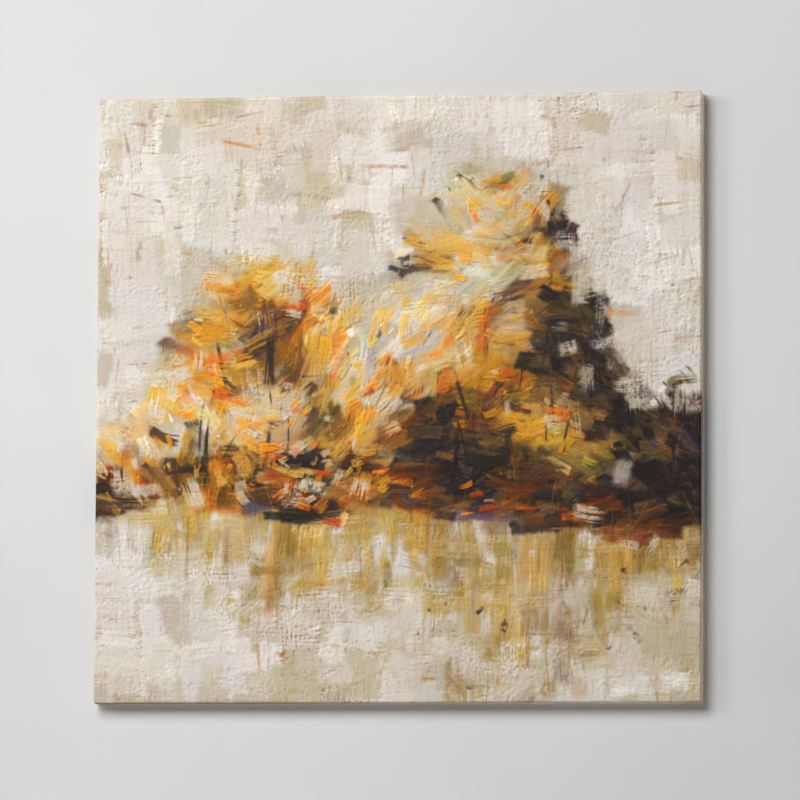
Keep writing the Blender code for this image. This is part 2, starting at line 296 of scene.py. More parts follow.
def lay(board, count, where, colour, angle, kind, second=0.07):
    """Lays strokes where a grid of weights says, in the colour and angle for each place."""
    rng = board.rng
    coarse = where[::SCATTER, ::SCATTER]
    across = coarse.shape[1]
    chances = coarse.ravel().astype(float)
    spots = rng.choice(chances.size, count, p=chances / chances.sum())
    for spot in spots:
        row = min(CELLS, int(spot // across) * SCATTER + int(rng.integers(0, SCATTER)))
        column = min(CELLS, int(spot % across) * SCATTER + int(rng.integers(0, SCATTER)))
        length = rng.uniform(*kind["length"])
        width = length * rng.uniform(*kind["share"])
        first = colour(row, column)
        other = vary(rng, first, second, second / 4)
        board.stroke(column * STEP, row * STEP, length, width, angle(row, column), first, other, kind)


# Palettes: each colour with how often it is picked

CREAM = {"#e4dcd3": 6, "#dcd3c9": 5, "#eae4dc": 5, "#dacfc7": 3, "#d5ccbf": 3, "#ddd6d3": 3,
         "#cfc8bf": 2}
WARM = {"#d2c6b0": 3, "#c6b89a": 3, "#b8aa88": 1.5, "#d8cdbd": 3, "#c4b9a5": 2, "#bcae9a": 1.5}
SEAM = {"#a3804f": 3, "#8f6a3c": 2, "#b07a4c": 4, "#6f4d36": 2, "#9c8a62": 1.5, "#a8633c": 3}
FLECK = {"#b5703a": 3, "#c98a3e": 3, "#7a4a30": 3, "#8f8794": 1, "#46517e": 0.5, "#c9a24b": 2}
MUTED = {"#857c90": 3, "#93807c": 3, "#6f6550": 2, "#b3a6a2": 2, "#7c6f36": 3}
GLOWING = {"#d69420": 4, "#c05c18": 3, "#e0a828": 4, "#96390f": 1.5}
UMBER = {"#5e3f20": 4, "#7c5a30": 4, "#4a2f1a": 3, "#6d5a2a": 3, "#8a6a3c": 3, "#7a4a22": 2,
         "#5a4a30": 1.5}
DEEP = {"#150d09": 5, "#24150d": 4, "#3a2313": 3, "#1c1520": 1.4, "#18234a": 0.8, "#22399a": 0.4}
EARTH = {"#1a100b": 3.5, "#2f1c11": 4, "#4f2b14": 4, "#7a3a14": 2.5, "#b5560f": 1.3, "#6b4a26": 2,
         "#5f5670": 1}
GOLD = {"#dd9d1c": 4, "#e3b040": 3, "#dc8618": 2, "#cb5c16": 1.5, "#ecd9a2": 3.5, "#f0e6d6": 3}
FLAME = {"#cc4a0e": 3, "#e0700e": 3, "#a8340e": 2, "#e2951a": 2}
POND = {"#b0a070": 3, "#968c9a": 1.5, "#85742f": 3, "#cdbc8e": 3, "#735a34": 1.5}
DRIP = {"#8a6430": 3, "#643f22": 2, "#a08648": 3, "#857c90": 1}
# From the deepest shade to full light
LEAF = [srgb(text) for text in ("#171011", "#2f1f1a", "#50341f", "#7a5026", "#a3742e", "#c1913c",
                                "#d6b05e", "#e3cb96", "#ede2ce")]


def leaf_tone(light):
    """The leaf colour for a light from 0 to 1."""
    level = min(max(light, 0.0), 0.999) * (len(LEAF) - 1)
    step = int(level)
    return LEAF[step] * (1 - level + step) + LEAF[step + 1] * (level - step)


class Scenery:
    """Where things stand in the picture: autumn trees beside water, seen through a haze."""

    def __init__(self, board):
        self.board = board
        rng = board.rng
        steps = np.linspace(0, 1, SIZE, dtype=np.float32)
        x, z = steps[None, :], steps[:, None]
        wander = board_clouds(rng, 70, 70, 3) - 0.5
        self.broad = board_clouds(rng, 130, 130, 2) - 0.5
        self.hue = board_clouds(rng, 110, 110, 2)
        self.flow = board_clouds(rng, 170, 170, 1) - 0.5

        shore = 0.36 + 0.02 * np.sin(4.0 * x + 0.6)
        crown = shore + 0.03
        clumps = ((0.65, 0.20, 0.46), (0.27, 0.13, 0.29), (0.97, 0.08, 0.10), (0.04, 0.07, 0.05))
        for at, wide, tall in clumps:
            crown = crown + tall * hill(x - at, wide)
        under_crown = smooth(-0.035, 0.035, crown + 0.17 * wander - z)
        self.trees = under_crown * smooth(-0.05, -0.01, z - shore)
        self.bank = smooth(0.05, 0.01, np.abs(z - shore + 0.012 + 0.07 * wander))
        below = shore - z
        reach = 0.05 + 0.60 * (crown - shore)
        mirrored = smooth(1.0, 0.3, (below + 0.18 * wander) / (reach + 0.05))
        self.water = smooth(0.0, 0.02, below) * mirrored
        lit_left = 0.42 * np.exp(-((x - 0.31) / 0.08) ** 2 - ((z - 0.61) / 0.11) ** 2)
        self.light = 0.48 + 1.9 * self.broad + 0.7 * (z - shore - 0.17) - 0.35 * (x - 0.55) + lit_left
        self.x, self.up = x + 0 * z, z + 0 * x
        self.weigh_ground()

    def weigh_ground(self):
        """Where the ground is warmer, where crumbs fall beside the trees, and where rust shows."""
        rng = self.board.rng
        shapes = np.clip(self.trees + self.water + self.bank, 0, 1).astype(np.float32)
        halo = blurred(shapes, 40) * (1 - shapes)
        patches = evened(board_clouds(rng, 120, 150, 3))
        lowest = smooth(0.2, 0.0, self.up)
        self.warm = 0.07 + 0.65 * smooth(0.55, 0.82, patches) + 0.9 * halo + 0.35 * lowest
        self.beside = 0.02 + smooth(0.05, 0.35, halo)
        self.rusty = 0.08 + smooth(0.50, 0.80, evened(board_clouds(rng, 80, 80, 3)))

    def ground(self, row, column):
        """A cream or, here and there, a warmer tone."""
        rng = self.board.rng
        warm = rng.random() < self.warm[row, column]
        return vary(rng, pick(rng, WARM if warm else CREAM), 0.012, 0.004)

    def leaf(self, row, column, rough=0.14):
        """A leaf colour by how much light falls there, shifted in patches to grey or to fire."""
        rng = self.board.rng
        found = leaf_tone(float(self.light[row, column]) + rng.normal(0, rough))
        hue, chance = self.hue[row, column], rng.random()
        if chance < 0.12 + 0.40 * (hue < 0.44):
            found = found * 0.5 + pick(rng, MUTED) * 0.5
        elif chance < 0.60 and hue > 0.52:
            found = found * 0.45 + pick(rng, GLOWING) * 0.55
        return vary(rng, found, 0.03, 0.008)

    def hazy_leaf(self, row, column):
        return self.leaf(row, column, 0.06) * 0.75 + srgb("#9a8d78") * 0.25

    def reflection(self, row, column):
        """A leaf colour mixed with a colour of the water."""
        rng = self.board.rng
        light = min(0.5 + 0.9 * float(self.broad[row, column]) + rng.normal(0, 0.1), 0.99)
        return vary(rng, leaf_tone(light) * 0.4 + pick(rng, POND) * 0.6, 0.03, 0.006)

    def any_of(self, colours):
        """A colour of the palette, wherever the stroke lies."""
        rng = self.board.rng
        return lambda row, column: vary(rng, pick(rng, colours), 0.03, 0.008)

    def lean(self, angle, spread):
        """An angle that wanders by spread, drawn from either end."""
        rng = self.board.rng
        return lambda row, column: angle + rng.normal(0, spread) + math.pi * rng.integers(0, 2)

    def square_on(self, upright):
        """A level angle or, for that share of the strokes, an upright one."""
        rng = self.board.rng
        return lambda row, column: (
            rng.normal(0, 0.15) + math.pi / 2 * (rng.random() < upright) + math.pi * rng.integers(0, 2))

    def leafy(self, row, column):
        """An angle that turns slowly from place to place."""
        rng = self.board.rng
        angle = 0.9 + 5.0 * float(self.flow[row, column])
        return angle + rng.normal(0, 0.45) + math.pi * rng.integers(0, 2)


def paint_ground(board, scenery):
    """Thin umber first, then knife plates of cream that leave it showing in their gaps."""
    rng = board.rng
    base = 0.6 * board_clouds(rng, 150, 150, 4) + 0.4 * board_clouds(rng, 40, 8, 3)
    share = smooth(0.3, 0.7, base)[..., None]
    board.colour[:] = srgb("#977850") * (1 - share) + srgb("#c4ae86") * share
    everywhere = np.ones((SIZE, SIZE))
    plate = brush((0.14, 0.32), (0.4, 0.8), 0.30, ridge=1.3, rag=0.45, bend=0.03, smear=0.05, soft=0.05,
                  comb=0.2)
    seam = brush((0.04, 0.16), (0.05, 0.12), 0.0, rag=0.9, dry=0.9, opacity=0.75, bend=0.05, smear=0.3)
    small = brush((0.05, 0.13), (0.35, 0.7), 0.2, rag=0.5, dry=0.3, opacity=0.85, bend=0.2, soft=0.15,
                  comb=0.3)
    shorter_plate, shorter_seam = {**plate, "length": (0.10, 0.22)}, {**seam, "length": (0.03, 0.11)}
    plates = (everywhere, scenery.ground, scenery.square_on(0.55))
    seams = (everywhere, scenery.any_of(SEAM), scenery.square_on(0.5))
    lay(board, 330, *plates, plate, 0.02)
    lay(board, 260, *seams, seam)
    lay(board, 190, *plates, shorter_plate, 0.02)
    lay(board, 240, *seams, shorter_seam)
    lay(board, 400, *plates, small, 0.02)


def wear_ground(board, scenery):
    """Scratches and scuffs through the cream, most of them in patches where rust shows."""
    everywhere = np.ones((SIZE, SIZE))
    scratch = brush((0.02, 0.10), (0.02, 0.05), -0.12, rag=0.8, dry=0.9, opacity=0.5, bend=0.5, smear=0.25)
    scuff = brush((0.010, 0.035), (0.3, 0.5), -0.08, rag=0.9, dry=0.9, opacity=0.4, bend=0.3, smear=0.3,
                  soft=0.4)
    seam, upright, either = scenery.any_of(SEAM), scenery.square_on(0.65), scenery.square_on(0.5)
    lay(board, 120, everywhere, seam, upright, scratch)
    lay(board, 80, scenery.rusty, seam, upright, {**scratch, "soft": 0.35})
    lay(board, 330, scenery.rusty, seam, either, scuff)
    lay(board, 130, scenery.beside, scenery.any_of(FLECK), either, {**scuff, "opacity": 0.6})


def paint_trees(board, scenery):
    """A hazy undercoat, leaves over it, and then wet paint pulled through wet paint."""
    under = brush((0.07, 0.15), (0.4, 0.7), 0.15, rag=0.8, dry=0.5, opacity=0.85, soft=0.3)
    leaves = brush((0.04, 0.11), (0.3, 0.6), 0.26, opacity=0.92, soft=0.2, smear=0.1)
    blend = brush((0.05, 0.13), (0.35, 0.6), 0.14, opacity=0.85, drag=0.85, soft=0.35)
    lay(board, 300, scenery.trees, scenery.hazy_leaf, scenery.leafy, under, 0.12)
    lay(board, 620, scenery.trees, scenery.leaf, scenery.leafy, leaves, 0.14)
    lay(board, 300, scenery.trees, scenery.leaf, scenery.leafy, blend)


def paint_water(board, scenery):
    """The trees' colours let down into the water, upright first and then a few level ripples."""
    wash = brush((0.07, 0.18), (0.25, 0.5), 0.12, rag=0.9, dry=0.8, opacity=0.7, soft=0.3)
    fall = brush((0.05, 0.14), (0.18, 0.4), 0.18, rag=0.9, dry=0.8, opacity=0.75, bend=0.1, soft=0.3)
    ripple = brush((0.05, 0.12), (0.14, 0.3), 0.20, rag=0.9, dry=0.8, opacity=0.7, drag=0.5, bend=0.15)
    upright = scenery.lean(math.pi / 2, 0.08)
    lay(board, 170, scenery.water, scenery.reflection, upright, wash)
    lay(board, 330, scenery.water, scenery.reflection, upright, fall, 0.10)
    lay(board, 110, scenery.water, scenery.reflection, scenery.lean(0, 0.10), ripple)


def paint_bank(board, scenery):
    """A strip of dark earth between the trees and the water."""
    earth = brush((0.04, 0.13), (0.2, 0.45), 0.30, rag=0.85, dry=0.4, opacity=0.93, soft=0.2, smear=0.1)
    blend = brush((0.06, 0.14), (0.2, 0.4), 0.14, rag=0.8, dry=0.4, opacity=0.9, drag=0.9, soft=0.3)
    level = scenery.lean(0, 0.12)
    lay(board, 230, scenery.bank, scenery.any_of(EARTH), level, earth, 0.18)
    lay(board, 120, scenery.bank, scenery.any_of(EARTH), level, blend)


def paint_umbers(board, scenery):
    """Browns and olives across the trees, then small touches that break up every mass."""
    shaded = scenery.trees * (0.12 + smooth(0.66, 0.38, scenery.light))
    shapes = scenery.trees + 0.6 * scenery.bank
    umber = brush((0.03, 0.09), (0.3, 0.6), 0.24, opacity=0.9, soft=0.12, rag=0.85, smear=0.1)
    broken = brush((0.012, 0.04), (0.3, 0.6), 0.30, opacity=0.85, soft=0.1, rag=0.9, smear=0.15)
    blend = brush((0.04, 0.10), (0.35, 0.6), 0.14, opacity=0.85, drag=0.8, soft=0.3)
    lay(board, 290, shaded, scenery.any_of(UMBER), scenery.leafy, umber, 0.18)
    lay(board, 120, scenery.trees, scenery.leaf, scenery.leafy, blend)
    lay(board, 620, shapes, scenery.leaf, scenery.leafy, broken, 0.14)


def paint_darks(board, scenery):
    """Near-black in the trees' shade, on the right, and crumbs of it beside them."""
    shade = scenery.trees * smooth(0.46, 0.28, scenery.light) * smooth(0.32, 0.50, scenery.x)
    dark = brush((0.02, 0.08), (0.3, 0.55), 0.30, opacity=0.92, soft=0.12, smear=0.1, rag=0.85)
    blend = brush((0.05, 0.11), (0.3, 0.5), 0.12, opacity=0.85, drag=0.85, soft=0.35)
    crumb = brush((0.010, 0.035), (0.3, 0.6), 0.15, opacity=0.8, dry=0.9, soft=0.2, rag=0.95)
    near = shade + 0.5 * smooth(0.1, 0.5, scenery.beside) * smooth(0.25, 0.6, scenery.x)
    lay(board, 230, shade, scenery.any_of(DEEP), scenery.leafy, dark)
    lay(board, 80, shade, scenery.any_of(DEEP), scenery.leafy, blend)
    lay(board, 80, shade + 0.3 * scenery.bank, scenery.any_of(UMBER), scenery.leafy,
        {**dark, "opacity": 0.7})
    lay(board, 150, near, scenery.any_of(DEEP), scenery.leafy, crumb)


def paint_trunks(board, scenery):
    """Thin trunks and boughs, some laid dark and some scratched back to pale ground."""
    x, high = scenery.x, scenery.trees > 0.3
    stems = sum(hill(x - at, 0.022) for at in (0.22, 0.30, 0.60, 0.685, 0.74, 0.955))
    stems = stems * high * smooth(0.75, 0.35, scenery.up) + 1e-6
    boughs = high * smooth(0.35, 0.55, scenery.up) + 1e-6
    trunk = brush((0.05, 0.15), (0.05, 0.10), 0.25, rag=0.8, dry=0.6, opacity=0.8, bend=0.9, smear=0.2,
                  soft=0.3)
    bough = brush((0.03, 0.09), (0.05, 0.10), 0.15, rag=0.95, dry=0.7, opacity=0.65, bend=1.0,
                  smear=0.25, soft=0.4)
    scratch = brush((0.03, 0.10), (0.015, 0.03), -0.15, rag=0.7, dry=0.5, opacity=0.7, bend=0.9,
                    smear=0.2)
    lay(board, 38, stems, scenery.any_of(DEEP), scenery.lean(math.pi / 2, 0.16), trunk)
    lay(board, 34, boughs, scenery.any_of(EARTH), scenery.lean(math.pi / 2, 0.7), bough)
    lay(board, 24, stems, scenery.any_of(WARM), scenery.lean(math.pi / 2, 0.3), scratch)


def paint_lights(board, scenery):
    """Thick gold on the lit leaves, and a few sparks of flame along the bank."""
    lit = scenery.trees * smooth(0.50, 0.75, scenery.light)
    near_middle, near_left = hill(scenery.x - 0.62, 0.25), hill(scenery.x - 0.30, 0.12)
    touch = brush((0.025, 0.075), (0.35, 0.65), 0.42, opacity=0.8, ridge=1.1, smear=0.35, soft=0.2,
                  rag=0.85)
    blend = brush((0.05, 0.10), (0.35, 0.6), 0.16, opacity=0.8, drag=0.75, soft=0.35)
    spark = brush((0.02, 0.06), (0.2, 0.5), 0.5, soft=0.15, rag=0.85, smear=0.25)
    lay(board, 150, lit, scenery.any_of(GOLD), scenery.leafy, touch)
    lay(board, 110, lit, scenery.any_of(GOLD), scenery.leafy, blend)
    lay(board, 40, lit, scenery.any_of(GOLD), scenery.leafy, {**touch, "length": (0.02, 0.045)})
    lay(board, 26, scenery.bank * near_middle, scenery.any_of(FLAME), scenery.lean(0, 0.2), spark)
    lay(board, 30, scenery.bank * near_middle, scenery.any_of(FLAME), scenery.lean(0, 0.3), blend)
    lay(board, 12, scenery.trees * near_left, scenery.any_of(FLAME), scenery.leafy, spark)


def paint_edges(board, scenery):
    """Ground colour laid back over the outlines, so that the trees sink into the haze."""
    shapes = scenery.trees + scenery.water + scenery.bank
    rim = 0.03 + smooth(0.02, 0.2, shapes) * smooth(0.75, 0.4, shapes)
    haze = brush((0.03, 0.11), (0.3, 0.7), 0.20, rag=0.95, dry=0.7, opacity=0.85, bend=0.1, smear=0.18,
                 soft=0.4)
    blend = brush((0.04, 0.10), (0.3, 0.6), 0.12, rag=0.9, dry=0.5, opacity=0.8, drag=0.8, soft=0.4)
    drip = brush((0.05, 0.16), (0.02, 0.06), 0.05, rag=0.9, dry=0.9, opacity=0.5, ridge=0.5, bend=0.05)
    lay(board, 320, rim, scenery.ground, scenery.square_on(0.55), haze, 0.02)
    lay(board, 120, rim, scenery.ground, scenery.leafy, blend, 0.02)
    wet = (scenery.water > 0.02) * 1.0
    lay(board, 60, wet, scenery.any_of(DRIP), scenery.lean(math.pi / 2, 0.06), drip)


def crosshatch(board):
    """A nearly dry brush drawn level and upright, which leaves umber threads on the ground."""
    rng = board.rng
    level = evened(board_clouds(rng, 1.5, 34, 2) + board_clouds(rng, 3.7, 50, 2))
    upright = evened(board_clouds(rng, 34, 1.5, 2) + board_clouds(rng, 50, 3.7, 2))
    patches = smooth(0.55, 0.80, evened(board_clouds(rng, 90, 90, 3)))
    threads = np.clip(smooth(0.70, 0.90, level) + smooth(0.70, 0.90, upright), 0, 1)
    share = (threads * 0.12 * patches)[..., None]
    board.colour = board.colour * (1 - share) + board.colour * srgb("#b08c62") * share * 1.15
    board.height = board.height - 0.03 * threads * patches + 0.05 * (board.grain - 0.5)


def tighten(board):
    """Takes the slow rises and falls out of the relief, so that the canvas stays drum-flat."""
    board.height = board.height - 0.7 * blurred(board.height, 20)


def glaze_hollows_and_paint_ridge_highlights(board, scenery):
    """A thin glaze of rust and umber wiped off the high paint and left in the hollows, where its darkness
    also serves as painted shade; the high paint is lightened a little as a painted highlight.
    """
    rng = board.rng
    hollow = blurred(board.height, 3) - board.height
    proud = smooth(0.03, 0.20, -hollow)[..., None]
    patches = 0.25 + 0.5 * evened(board_clouds(rng, 60, 60, 3)) + 0.6 * scenery.rusty
    # Rust glaze left in the hollows, whose darkness there also serves as painted shade
    board.glaze(smooth(0.025, 0.17, hollow) * 0.42 * patches, "#a8703f")
    # Painted highlight: the high paint is made a little lighter
    board.colour = np.clip(board.colour * (1 + 0.035 * proud), 0, 1)


def knife_ridges(board, scenery):
    """Winding ridges and small lumps that a knife leaves in stiff paint, 5 to 20 mm apart; the
    brushed shapes have fewer."""
    rng = board.rng
    lumps = evened(board_clouds(rng, 2.8, 3.4, 2)) - 0.5
    level = hill(evened(board_clouds(rng, 9, 22, 3)) - 0.5, 0.07)
    upright = hill(evened(board_clouds(rng, 26, 10, 3)) - 0.5, 0.07)
    patches = 0.1 + 0.9 * smooth(0.30, 0.90, evened(board_clouds(rng, 50, 50, 3)))
    knifed = 1 - 0.75 * np.clip(scenery.trees + scenery.bank + 0.8 * scenery.water, 0, 1)
    board.height = board.height + knifed * patches * (0.38 * lumps + 0.22 * level + 0.22 * upright)


def paint_light_on_ridges(board):
    """Painted light from the upper left: each ridge is lightened on that side as a painted highlight and
    darkened on its far side as painted shade."""
    rise = board.height - np.roll(board.height, (-2, 2), (0, 1))
    fine = board.height - np.roll(board.height, (-1, 1), (0, 1))
    # Painted highlight where the paint faces up and to the left, painted shade where it faces away
    painted_light = 0.15 * np.clip(rise, -0.35, 0.35) + 0.08 * np.clip(fine, -0.25, 0.25)
    board.colour = np.clip(board.colour * (1 + painted_light[..., None]), 0, 1)


def varnish(board):
    """Varnish deepens the darks and the strong colours."""
    grey = board.colour @ np.array([0.21, 0.72, 0.07], np.float32)
    strength = board.colour.max(-1) - board.colour.min(-1)
    richer = (1.0 + 0.45 * smooth(0.12, 0.35, strength))[..., None]
    deeper = (1.0 - 0.34 * smooth(0.60, 0.15, grey))[..., None]
    grey = grey[..., None]
    board.colour = np.clip((grey + (board.colour - grey) * richer) * deeper, 0, 1)


def sample_offsets():
    """How far each line of samples lies from the cloth's middle."""
    return np.arange(SIZE, dtype=np.float32) * STEP - BOARD / 2


def past_edge():
    """How far each sample lies beyond the face's edge."""
    offset = np.abs(sample_offsets())
    return np.maximum(offset[:, None], offset[None, :]) - HALF


def wrap_depth(past):
    """How deep on a side a sample lies that is so far past the edge of the flat cloth."""
    return np.maximum(past, 0) * DEPTH / (SIDE_CELLS * STEP)


def fold_places():
    """On the upper and lower sides: how deep each sample lies, and how far from the corner."""
    across, up = np.meshgrid(np.abs(sample_offsets()), np.abs(sample_offsets()))
    return wrap_depth(up - HALF), np.maximum(HALF - across, 0)


def thin_sides(board):
    """The brush came to the edges nearly empty, so the paint there lies flatter."""
    board.height = board.height * (1 - 0.85 * smooth(-0.004, 0.002, past_edge()))


def paint_shade_on_sides(board):
    """The wrapped sides carry a thinner, browner and darker coat than the face: painted shade on the
    sides.
    """
    # Painted shade on the wrapped sides
    board.glaze(0.85 * smooth(-0.0005, 0.004, past_edge()), "#b5a58f")


def paint_shade_in_creases(board):
    """Painted shade: a darker line along the slanting edge of each corner's tucked-in cloth."""
    depth, to_corner = fold_places()
    # The crease's painted shade, along the fold's slanting edge
    crease_shade = 0.35 * hill(depth - to_corner - 0.0004, 0.0018) * smooth(0.001, 0.004, depth)
    board.glaze(crease_shade, "#8a6a4a")


def painted_board():
    """The whole picture, from the ground up to the varnish."""
    board = Board(np.random.default_rng(PAINT_SEED))
    scenery = Scenery(board)
    for layer in (paint_ground, wear_ground, paint_trees, paint_water, paint_bank, paint_umbers,
                  paint_darks, paint_trunks, paint_lights, paint_edges):
        layer(board, scenery)
    crosshatch(board)
    tighten(board)
    glaze_hollows_and_paint_ridge_highlights(board, scenery)
    knife_ridges(board, scenery)
    thin_sides(board)
    paint_light_on_ridges(board)
    varnish(board)
    paint_shade_on_sides(board)
    paint_shade_in_creases(board)
    return board


# Shapes

def on_frame(points, half, face, radius):
    """Rounds the edges of the wrapped shape: the places of its points, and which way is out."""
    low = np.array([-half + radius, face + radius, -half + radius])
    high = np.array([half - radius, BACK - radius, half - radius])
    core = np.clip(points, low, high)
    away = points - core
    out = away / np.maximum(np.linalg.norm(away, axis=-1, keepdims=True), 1e-9)
    return core + out * radius, out


def pleat(to_corner, depth):
    """The cloth tucked under at a corner stands 0.7 mm proud on the upper and lower sides."""
    inside = smooth(0.0, 0.0016, depth - to_corner) * smooth(0.0, 0.002, depth)
    return 0.0007 * inside * smooth(-0.0002, 0.0012, to_corner)


def mesh_from(name, points, faces):
    """A smooth mesh of equal-sided faces, given as arrays."""
    points, faces = np.asarray(points, np.float32), np.asarray(faces, np.int32)
    mesh = bpy.data.meshes.new(name)
    mesh.vertices.add(len(points))
    mesh.vertices.foreach_set("co", points.ravel())
    mesh.loops.add(faces.size)
    mesh.loops.foreach_set("vertex_index", faces.ravel())
    mesh.polygons.add(len(faces))
    mesh.polygons.foreach_set("loop_start", np.arange(len(faces), dtype=np.int32) * faces.shape[1])
    mesh.polygons.foreach_set("use_smooth", np.full(len(faces), True))
    mesh.update(calc_edges=True)
    mesh.validate()
    return mesh


def show(name, mesh, finish):
    """One visible piece that goes with the frame."""
    piece = bpy.data.objects.new(name, mesh)
    bpy.context.scene.collection.objects.link(piece)
    piece.data.materials.append(finish)
    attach(piece, "root")
    return piece


def grid_faces(rows, columns):
    """The four-sided faces of a grid of points, counted row by row."""
    row, column = np.meshgrid(np.arange(rows - 1), np.arange(columns - 1), indexing="ij")
    first = (row * columns + column).ravel()
    return np.stack([first, first + 1, first + columns + 1, first + columns], axis=1)


def turned(quarter, out, along):
    """The x and z of places on one of the four sides, given as out from the picture's middle and
    along the side, for the side that many quarter turns round from the right one."""
    cos, sin = ((1, 0), (0, 1), (-1, 0), (0, -1))[quarter]
    return out * cos - along * sin, out * sin + along * cos


def gathered(parts):
    """Several point and face arrays as one pair."""
    points, faces, start = [], [], 0
    for part_points, part_faces in parts:
        points.append(part_points)
        faces.append(part_faces + start)
        start += len(part_points)
    return np.concatenate(points), np.concatenate(faces)


def welded(points, faces):
    """The same faces with points that lie within a thousandth of a millimetre made one."""
    keys = np.round(points * 1e6).astype(np.int64)
    first, merged = np.unique(keys, axis=0, return_index=True, return_inverse=True)[1:]
    return points[first], merged.reshape(-1)[faces]


def paint_surface(board):
    """Where every paint sample lies on the wrapped canvas, and its normal."""
    across, up = np.meshgrid(sample_offsets(), sample_offsets())
    depth = wrap_depth(past_edge())
    x, z = np.clip(across, -HALF, HALF), np.clip(up, -HALF, HALF)
    place, out = on_frame(np.stack([x, FACE + depth, z], axis=-1), HALF, FACE, ROUND)

    to_level_edge, to_upright_edge = HALF - np.abs(z), HALF - np.abs(x)
    folded = 1 - smooth(0.0, 0.0025, np.maximum(to_level_edge, to_upright_edge))
    folded = folded * smooth(0.0, 0.002, depth)
    fade = smooth(0.0, 0.003, DEPTH - depth)
    thick = np.clip(1.3 * board.height + 0.45, PAINT_FILM * 1000, PAINT_MOST) * 0.001
    thick = (thick - PAINT_FILM) * fade * (1 - 0.8 * folded) + PAINT_FILM
    thick = thick + pleat(to_upright_edge, depth) * (np.abs(up) > HALF)
    place = place + out * thick[..., None]
    place[..., 2] += MIDDLE
    normal = np.cross(np.gradient(place, axis=1), np.gradient(place, axis=0))
    normal /= np.maximum(np.linalg.norm(normal, axis=-1, keepdims=True), 1e-12)
    return place, normal


def set_numbers(mesh, name, kind, key, values):
    """Stores a value for every point of a mesh under a name."""
    made = mesh.attributes.new(name, kind, "POINT")
    made.data.foreach_set(key, np.asarray(values, np.float32).ravel())


def paint_mesh(name, cells, place, normal, colour, gloss):
    """One part of the paint: cells says which of the faces between its samples are there."""
    wide = place.shape[1]
    faces = grid_faces(*place.shape[:2])[cells.ravel()]
    used, faces = np.unique(faces, return_inverse=True)
    faces = faces.reshape(-1, 4)
    mesh = mesh_from(name, place.reshape(-1, 3)[used], faces)
    set_numbers(mesh, "paint", "FLOAT_COLOR", "color", colour.reshape(-1, 4)[used])
    set_numbers(mesh, "gloss", "FLOAT", "value", gloss.ravel()[used])
    flat = np.stack([used % wide, used // wide], axis=1) / (wide - 1)
    layer = mesh.uv_layers.new(name="OFBake")
    layer.uv.foreach_set("vector", flat[faces.ravel()].astype(np.float32).ravel())
    mesh.normals_split_custom_set_from_vertices(normal.reshape(-1, 3)[used])
    return mesh


def paint_pieces(board, finish):
    """The paint skin in nine pieces, so that none has too many faces."""
    place, normal = paint_surface(board)
    colour = np.ones((SIZE, SIZE, 4), np.float32)
    colour[..., :3] = to_linear(board.colour)
    side = np.arange(CELLS)
    wrapped = (side < SIDE_CELLS) | (side >= CELLS - SIDE_CELLS)
    canvas_there = ~(wrapped[:, None] & wrapped[None, :])
    third = CELLS // 3
    pieces = []
    for i, level in enumerate(("lower", "middle", "upper")):
        for j, hand in enumerate(("left", "centre", "right")):
            cells = canvas_there[i * third:(i + 1) * third, j * third:(j + 1) * third]
            at = slice(i * third, (i + 1) * third + 1), slice(j * third, (j + 1) * third + 1)
            mesh = paint_mesh(f"paint_{level}_{hand}", cells, place[at], normal[at], colour[at],
                              board.gloss[at])
            pieces.append(show(mesh.name, mesh, finish))
    return pieces


def flap_lift(along, inset, level, wander):
    """How far the turned-in cloth stands off: pulled down at each staple, and folded thicker
    over the corner tucks on the upper and lower bars."""
    between = 0.5 - 0.5 * np.cos(2 * math.pi * along / STAPLE_PITCH + math.pi)
    lift = 0.0005 * between * smooth(0.004, FLAP, inset)
    lift = lift + 0.0003 * (wander - 0.5) * smooth(0, 0.01, inset)
    if level:
        to_mitre = HALF - inset - np.abs(along)
        roll = np.sqrt(np.clip(1 - (1 - np.clip(to_mitre / 0.0012, 0, 1)) ** 2, 0, 1))
        lift = lift + 0.0009 * roll * smooth(0.040, 0.030, to_mitre) * smooth(0.0, 0.002, inset)
    return lift


def cloth_face(along, face):
    """The points of the sheet's flat front, and their lift, which is none."""
    x, z = np.meshgrid(along, along)
    return np.stack([x, np.full_like(x, face), z], axis=-1), np.zeros_like(x)


def cloth_side(rng, quarter, along, half, face):
    """The points of one side and its flap, and how far each is lifted off the wood."""
    sides = np.array([0, 0.0012, 0.0025, 0.006, 0.012, 0.020, 0.028, 0.034, BACK - face])
    insets = np.array([0.0012, 0.0025, 0.005, 0.009, 0.013, 0.017, 0.021, 0.025, FLAP])
    depth = np.concatenate([sides, np.full(len(insets), BACK - face)])[:, None]
    turned_in = np.concatenate([np.zeros(len(sides)), insets])[:, None]
    level = quarter % 2 == 1
    wander = clouds(rng, len(depth), len(along), 3, 3, 2)
    cut = clouds(rng, 1, len(along), 1, 5, 2)[0] - 0.5
    inset = turned_in + 0.0022 * cut[None, :] * (turned_in == FLAP)
    out = half - inset
    span = along[None, :] * out / half
    depth = depth + 0 * span
    lift = flap_lift(span, inset, level, wander) * (turned_in > 0)
    if level:
        lift = lift + pleat(half - np.abs(span), depth) * (turned_in == 0)
    x, z = turned(quarter, out, span)
    return np.stack([x, face + depth, z], axis=-1), lift


def outward_faces(place, out):
    """The faces of a grid of points, turned to look the way the points' outward arrows do."""
    rows, columns = place.shape[:2]
    faces = grid_faces(rows, columns)
    flat, outward = place.reshape(-1, 3), out.reshape(-1, 3)
    middle_face = faces[len(faces) // 2 + columns // 2]
    a, b, c = flat[middle_face[:3]]
    looks_in = np.dot(np.cross(b - a, c - a), outward[middle_face[0]]) < 0
    return faces[:, ::-1] if looks_in else faces


